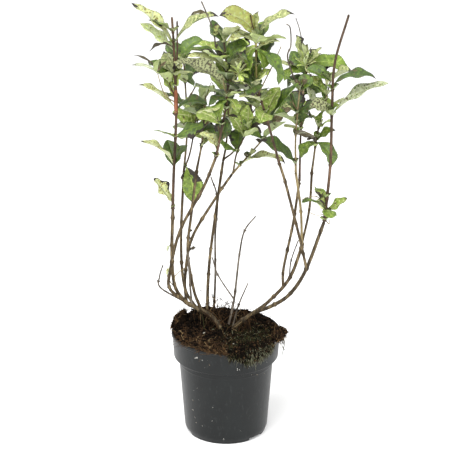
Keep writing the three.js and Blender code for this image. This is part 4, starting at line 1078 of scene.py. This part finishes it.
# Single strands: (foot, places, thickness, look)
STRANDS = (
    ((-9, -2, 149), ((-17, -1, 160), (-27, -2, 172), (-36, 0, 178)), 1.0, CHIP_BARK),
    ((-4, 3, 149), ((-10, 6, 160), (-20, 9, 171), (-33, 9, 176)), 0.9, FIBRE),
    ((-14, 6, 149), ((-22, 7, 160), (-30, 8, 172), (-42, 7, 182)), 0.7, STRAW),
    ((-30, -3, 150), ((-31, -1, 160), (-33, 1, 171), (-36, 3, 181)), 0.45, MOSS_GREEN),
    ((12, 4, 149), ((20, 0, 158), (30, -4, 170), (40, -6, 180)), 0.9, CHIP_BARK),
    ((6, -4, 149), ((14, -8, 157), (24, -9, 166), (35, -12, 176)), 0.7, STRAW),
    ((18, 6, 148), ((24, 2, 158), (31, -3, 169), (37, -8, 178)), 0.5, FIBRE),
    ((75, -4, 143), ((78, -6, 138), (80, -5, 128), (78, -6, 116)), 0.95, CHIP_BARK),
    ((74, -8, 142), ((77, -10, 136), (77, -9, 127), (81, -10, 121)), 0.8, MOSS_GREEN),
    ((72, -12, 143), ((75, -14, 138), (74, -15, 130), (76, -16, 125)), 0.5, STRAW),
    ((76, -2, 143), ((79, -3, 137), (77, -2, 132), (80, -3, 126)), 0.75, FIBRE),
    ((77, -8, 141), ((80, -8, 134), (79, -9, 124), (77, -9, 113)), 0.7, MOSS_GREEN),
    ((-19, 10, 153), ((-22, 12, 170), (-14, 12, 184), (-21, 12, 192), (-27, 11, 186)), 0.55, STRAW),
    ((-5, 10, 152), ((-10, 10, 168), (-2, 10, 178), (4, 9, 188), (10, 9, 184)), 0.55, FIBRE),
    ((16, 14, 150), ((14, 14, 163), (20, 13, 172), (17, 12, 181), (24, 12, 186)), 0.5, STRAW),
    ((-30, 12, 157), ((-24, 12, 167), (-29, 13, 177), (-22, 14, 183)), 0.5, CHIP_BARK),
    ((28, 10, 149), ((24, 9, 159), (29, 8, 168), (25, 8, 175)), 0.5, FIBRE),
    ((73, -30, 147), ((68, -40, 146), (60, -50, 141), (54, -58, 136)), 0.6, STRAW),
    ((-37, 12, 157), ((-39, 6, 172), (-37, 1, 190), (-36, 0, 205)), 0.5, FIBRE),
    ((-36, 0, 205), ((-34, -1, 207), (-33, -1, 203), (-34, 0, 200)), 0.45, CHIP_BARK),
)
ROOTS, HAIRS, LIP_FIBRES = 46, 60, 90
HAIR_PLACES, HAIR_HEIGHTS = ((-36, 30), (-4, 40)), (8, 34)
FRINGE_HEADINGS, FRINGE_DROP = (-122, -78), 13
ROOT_SHARES = {CRUMB: 0.3, CHIP_BARK: 0.35, FIBRE: 0.25, STRAW: 0.1}
LIP_SHARES = {FIBRE: 0.35, CHIP_BARK: 0.3, CRUMB: 0.25, STRAW: 0.1}


def strand(heap, places, thick, look, sides=5):
    """A thin strand through its places that tapers to its tip"""
    line = Run(places).at(np.linspace(0, 1, 7 * (len(places) - 1)))
    radius = thick * np.linspace(1, 0.5, len(line))
    heap.add(sweep(line, radius, radius, sides), look)


def make_strands(runs):
    """Roots at the stems' feet, dry hairs that stand behind them and fibres that hang over the lip"""
    rng = np.random.RandomState(83)
    heap = Heap()
    for at, way, thick, look in STRANDS:
        strand(heap, (at, *way), thick, look)
    for _ in range(ROOTS):
        side = rng.choice((-1, 1))
        top = runs["left_limb" if side < 0 else "right_limb"].at(rng.uniform(0, 0.9))[0]
        foot = on_mix(top[0] + side * rng.uniform(-6, 12), top[1] + rng.uniform(-9, 9))
        middle = (top + foot) / 2 + rng.normal(0, 1.5, 3)
        strand(heap, (top + rng.normal(0, 1.6, 3), middle, foot), rng.uniform(0.25, 0.7),
               pick(rng, ROOT_SHARES))
    for _ in range(HAIRS):
        foot = on_mix(*(rng.uniform(*limits) for limits in HAIR_PLACES))
        tall = rng.uniform(*HAIR_HEIGHTS)
        lean = rng.normal(0, 0.35, 2) * tall
        curl = rng.normal(0, 5, (2, 2))
        middle = foot + (*(lean * 0.5 + curl[0]), tall * 0.6)
        tip = foot + (*(lean + curl[1]), tall)
        end = tip + (*rng.normal(0, 4, 2), -rng.uniform(0, 8))
        look = rng.choice((CRUMB, CHIP_BARK, FIBRE))
        strand(heap, (foot, middle, tip, end), rng.uniform(0.3, 0.5), look, sides=4)
    for _ in range(LIP_FIBRES):
        heading = rng.uniform(*FRINGE_HEADINGS)
        low = FRINGE_DROP * smooth(-118, -74, heading) * rng.uniform(0.3, 1)
        swing = rng.uniform(5, 20)
        line = [on_ring(heading, 70, POT_HEIGHT + rng.uniform(0.5, 2.5)),
                on_ring(heading + 0.4 * swing, LIP_RADIUS + 0.6, POT_HEIGHT + 0.6 - 0.2 * low),
                on_ring(heading + swing, LIP_RADIUS + rng.uniform(0.8, 2.4), POT_HEIGHT - low)]
        look = pick(rng, LIP_SHARES)
        strand(heap, line, rng.uniform(0.3, 0.7), look)
    heap.build("mix_strands", GROUND_SKINS, "mix")


# Tufts that lie over the lip, as in the solids, each a rough core with crumbs and strands all over

SPILLS = (
    dict(node="moss_over_lip", kind="moss", start=-88, stop=-34, inner=50, top=7, reach=5, drop=15, seed=3),
    dict(node="bark_over_lip", kind="mix", start=-26, stop=6, inner=60, top=6, reach=8, drop=2, seed=5),
    dict(node="bark_on_lip", kind="mix", start=142, stop=172, inner=58, top=10, reach=1, drop=0.5, seed=8),
)
SPILL_STEPS = 7
SPILL_SECTIONS = 40
# Strands hang from the sections' lowest corners and stand on the others; fall is how far each bends
TUFTS = dict(
    moss=dict(core=PEAT, crumbs=620, crumb_shares={PEAT: 0.4, CRUMB: 0.3, CHIP_BARK: 0.2, FIBRE: 0.1},
              strands=1500, low=3, fall=(-0.1, -1.3), droop=0.3),
    mix=dict(core=CRUMB, crumbs=260, crumb_shares={PEAT: 0.2, CRUMB: 0.25, CHIP_BARK: 0.35, FIBRE: 0.2},
             strands=160, low=2, fall=(0.1, -0.5), droop=0),
)
MOSS_CLUMPS, CLUMPED = 24, 0.7
TUFT_MOSS_SHARES = {MOSS_DARK: 0.5, MOSS_GREEN: 0.22, CRUMB: 0.18, FIBRE: 0.1}
MAT_MOSS_SHARES = {MOSS_DARK: 0.44, MOSS_GREEN: 0.28, MOSS_PALE: 0.07, CRUMB: 0.13, FIBRE: 0.08}
MAT_STRANDS, MAT_REACH = 3000, 68
MAT_RIGHT, MAT_BACK = (34, 18), (-30, 20)  # its middle and its spread


def spill_section(tuft, share):
    """The closed section of a tuft at a share of its way round, as in the solids"""
    draw = draws(tuft["seed"])
    rough = [0.75 + 0.5 * next(draw) for _ in range(SPILL_STEPS + 1)]
    swell = (np.interp(share * SPILL_STEPS, range(SPILL_STEPS + 1), rough)
             * math.sin(math.pi * mix(0.12, 0.88, share)))
    heading = math.radians(mix(tuft["start"], tuft["stop"], share))
    ways = np.array((math.cos(heading), math.sin(heading)))
    inner = mix(LIP_RADIUS - 4, tuft["inner"], swell)
    level = mix_height(*(inner * ways))
    edge = mix_height(*((LIP_RADIUS - 5) * ways))
    crest = max(POT_HEIGHT, edge, level)
    drop, top, reach = (tuft[k] * swell for k in ("drop", "top", "reach"))
    section = ((inner, level - 1), (LIP_RADIUS - 4, edge - 1),
               (LIP_RADIUS - LIP_WIDTH - 0.3, POT_HEIGHT + 0.3), (LIP_RADIUS + 0.3, POT_HEIGHT + 0.3),
               (LIP_RADIUS + 0.3, POT_HEIGHT - 0.5 - drop), (LIP_RADIUS + 1.5, POT_HEIGHT - 1.5 - drop),
               (LIP_RADIUS + 1 + reach, POT_HEIGHT - drop * 0.4),
               (LIP_RADIUS + reach * 0.7, crest + top * 0.6), (LIP_RADIUS - 5, crest + 0.8 + top),
               (mix(inner, LIP_RADIUS, 0.35), crest + 0.6 + top * 0.7))
    return np.array([(r * ways[0], r * ways[1], z) for r, z in section])


def hair(heap, line, thick, look):
    """A strand through three places, fine at its tip"""
    radius = thick / np.array((1, 1, 3))
    heap.add(sweep(np.array(line), radius, radius, 4), look)


def make_spill(rng, tuft):
    """One tuft"""
    kind = TUFTS[tuft["kind"]]
    moss = tuft["kind"] == "moss"
    clumps = rng.uniform(0, SPILL_SECTIONS, MOSS_CLUMPS)
    heap = Heap()
    sections = np.array([spill_section(tuft, share) for share in np.linspace(0, 1, SPILL_SECTIONS)])
    between = (sections + np.roll(sections, -1, axis=1)) / 2
    core = np.stack((sections, between), axis=2).reshape(len(sections), -1, 3)
    centre = core.mean(axis=1, keepdims=True)
    core = centre + (core - centre) * rng.uniform(0.86, 1.0, core.shape[:2])[..., None]
    heap.add(core, kind["core"])
    outer = sections[:, 5:]

    def toss():
        return rng.randint(len(outer)), rng.uniform(0, outer.shape[1] - 1.001)

    def outside(k, j):
        low = int(j)
        return low, mix(outer[k, low], outer[k, low + 1], j - low)

    for _ in range(kind["crumbs"]):
        _, spot = outside(*toss())
        size = rng.uniform(0.5, 1.5) ** 1.3
        heap.add(lump_rings(rng) * size + spot, pick(rng, kind["crumb_shares"]))
    for _ in range(kind["strands"]):
        k, j = toss()
        if moss and rng.uniform() < CLUMPED:
            k = int(np.clip(rng.choice(clumps) + rng.normal(0, 0.7), 0, len(outer) - 1))
        low, spot = outside(k, j)
        hangs = low < kind["low"]
        away = unit(spot - centre[k, 0])
        way = unit(away * 0.8 + rng.normal(0, 0.5, 3) + (0, 0, kind["fall"][hangs]))
        if moss:
            length = (rng.uniform(1.5, 5) + rng.exponential(1.6)) * (0.6 + 0.5 * math.sin(k * 2.1) ** 2)
        else:
            length = rng.uniform(2, 9)
        curl = rng.normal(0, 0.35, 3) * length
        tip = spot + way * length * 0.9 + curl * 0.3 - (0, 0, kind["droop"] * length * hangs)
        if not moss:
            look = rng.choice((FIBRE, STRAW, CHIP_BARK))
        elif rng.uniform() < ((0.5 if k > 12 else 0.2) if low < 2 else 0.03):
            look = MOSS_PALE
        else:
            look = pick(rng, TUFT_MOSS_SHARES)
        thick = rng.uniform(0.1, 0.2) if look == MOSS_PALE else rng.uniform(0.12, 0.3)
        hair(heap, (spot, spot + way * length / 2, tip), thick, look)
    heap.build(tuft["node"].replace("lip", "edge"), GROUND_SKINS, tuft["kind"], tuft["node"])


def make_moss():
    """A mat of moss over the right front of the mix, its strands combed outwards"""
    rng = np.random.RandomState(64)
    heap = Heap()
    for _ in range(MAT_STRANDS):
        x, y = rng.normal(*MAT_RIGHT), rng.normal(*MAT_BACK)
        r = math.hypot(x, y)
        if r > MAT_REACH:
            continue
        foot = on_mix(x, y)
        length = rng.uniform(2, 8)
        way = unit(np.array((x, y, 0)) / r * rng.uniform(0.2, 1.4) + rng.normal(0, 0.45, 3) + (0, 0, 0.55))
        tip = foot + way * length
        tip[2] = max(tip[2] - 0.25 * length, rough_height(tip[0], tip[1]) + 0.4)
        look = pick(rng, MAT_MOSS_SHARES)
        thick = rng.uniform(0.14, 0.32)
        middle = (foot + tip) / 2 + (*rng.normal(0, 0.4, 2), 0.22 * length)
        hair(heap, (foot, middle, tip), thick, look)
    heap.build("moss_cushions", GROUND_SKINS, "moss")


# Dried mix on the pot: (heading, height, size, how tall, how many)
SMEARS = (
    (-124, 135, 1.1, 1.8, 5), (-119, 131, 0.9, 1.6, 3), (-108, 127, 0.8, 1, 4), (-111, 133, 0.5, 1, 2),
    (-77, 122, 1.3, 1.2, 3), (-67, 112, 0.6, 1, 3), (-57, 106, 0.6, 1, 3), (-49, 103, 0.9, 1, 4),
    (-36, 100, 0.6, 1, 2), (-138, 61, 0.6, 1, 4), (-139, 45, 0.5, 1.2, 4), (-135, 26, 0.6, 1, 4),
    (-137, 36, 0.4, 1, 3), (-93, 9, 0.8, 0.8, 3), (-129, 83, 0.4, 1, 2), (-64, 122, 0.7, 1.3, 3),
)
SPECKS = 34


def on_pot(heading, z):
    """The place on the pot's outside at a heading in degrees and a height"""
    r = mix(BAND_RADIUS, LIP_RADIUS - LIP_BEAD, (z - BAND_FOOT) / (POT_HEIGHT - BAND_FOOT))
    return on_ring(heading, body_radius(z) if z < BAND_FOOT + 2 else r, z)


def make_dust():
    """Pale specks and smears of dried mix that stick to the pot's collar and body"""
    rng = np.random.RandomState(71)
    heap = Heap()
    for heading, z, size, tall, count in SMEARS:
        for _ in range(count):
            spot = on_pot(heading + rng.normal(0, 1.2) * size, z + rng.normal(0, 0.8) * size * tall)
            grain = rng.uniform(0.3, 0.75) * size
            heap.add(lump_rings(rng) * grain * (1, 1, tall) + spot, rng.choice((0, 0, 1)))
    for _ in range(SPECKS):
        spot = on_pot(rng.uniform(-180, 180), rng.uniform(12, POT_HEIGHT - 6))
        heap.add(lump_rings(rng) * rng.uniform(0.2, 0.5) + spot)
    heap.build("pot_specks", [DUST_SKIN, MIX_SKINS[STRAW]], "mix")


# Put it all together

def make_plant():
    """Every piece of the plant and its pot"""
    rows = {name: PLAIN | row for name, row in (LIMBS | MASSES).items()}
    runs = {}
    for name, row in rows.items():
        foot = row["foot"] if "foot" in row else runs[row["on"]].at(row["at"])[0]
        runs[name] = Run((foot, *row["way"]))
    for seed, name in enumerate(LIMBS):
        make_limb(name, rows[name], runs[name], seed)
    for name in MASSES:
        grow_mass(name, rows[name], runs[name])
    make_fine_twigs(runs)
    make_fine_leaves()
    make_pot()
    make_mix()
    make_crumbs()
    make_fibres()
    make_strands(runs)
    rng = np.random.RandomState(52)
    for tuft in SPILLS:
        make_spill(rng, tuft)
    make_moss()
    make_dust()


# Floor, light and camera

FLOOR_REACH = 40.0
AIM = (0, 0, 0.35)
CAMERA_PLACE = (-0.0015, -2.3, 1.187)
CAMERA_PITCH = 21.05
SENSOR, LENS = 36, 146.72
SKY = 0.92


def make_floor():
    """A plain pale floor that fills the view"""
    mesh = bpy.data.meshes.new("floor")
    corners = [(x * FLOOR_REACH, y * FLOOR_REACH, 0) for x, y in ((-1, -1), (1, -1), (1, 1), (-1, 1))]
    mesh.from_pydata(corners, [], [(0, 1, 2, 3)])
    mesh.materials.append(finish("floor_paper", (0.9, 0.9, 0.9), 0.9, 400, 0.004))
    floor = show(bpy.data.objects.new("floor", mesh))


def make_light(name, place, size, power):
    """A large soft light that looks at the plant's middle"""
    lamp = bpy.data.lights.new(name, "AREA")
    lamp.shape, lamp.size, lamp.energy = "DISK", size, power
    light = show(bpy.data.objects.new(name, lamp))
    light.location = place
    x, y, z = np.subtract(AIM, place)
    light.rotation_euler = (math.atan2(math.hypot(x, y), -z), 0, math.atan2(-x, y))


def make_camera():
    """The photograph's view, from above eye level and square to the front"""
    camera = show(bpy.data.objects.new("camera", bpy.data.cameras.new("camera")))
    camera.location = CAMERA_PLACE
    camera.rotation_euler = (math.radians(90 - CAMERA_PITCH), 0, 0)
    camera.data.sensor_width = SENSOR
    camera.data.lens = LENS
    bpy.context.scene.camera = camera


def make_studio():
    """White surroundings, two soft lights, the floor and the camera"""
    scene = bpy.context.scene
    scene.world = bpy.data.worlds.new("studio")
    scene.world.use_nodes = True
    sky = scene.world.node_tree.nodes["Background"].inputs
    sky["Color"].default_value = (1, 1, 1, 1)
    sky["Strength"].default_value = SKY
    scene.view_settings.view_transform = "Standard"
    make_floor()
    make_light("key", (-1.2, -1.5, 2.9), 3.2, 150)
    make_light("fill", (1.6, -2.4, 1.6), 2.6, 75)
    make_camera()


make_plant()
make_studio()
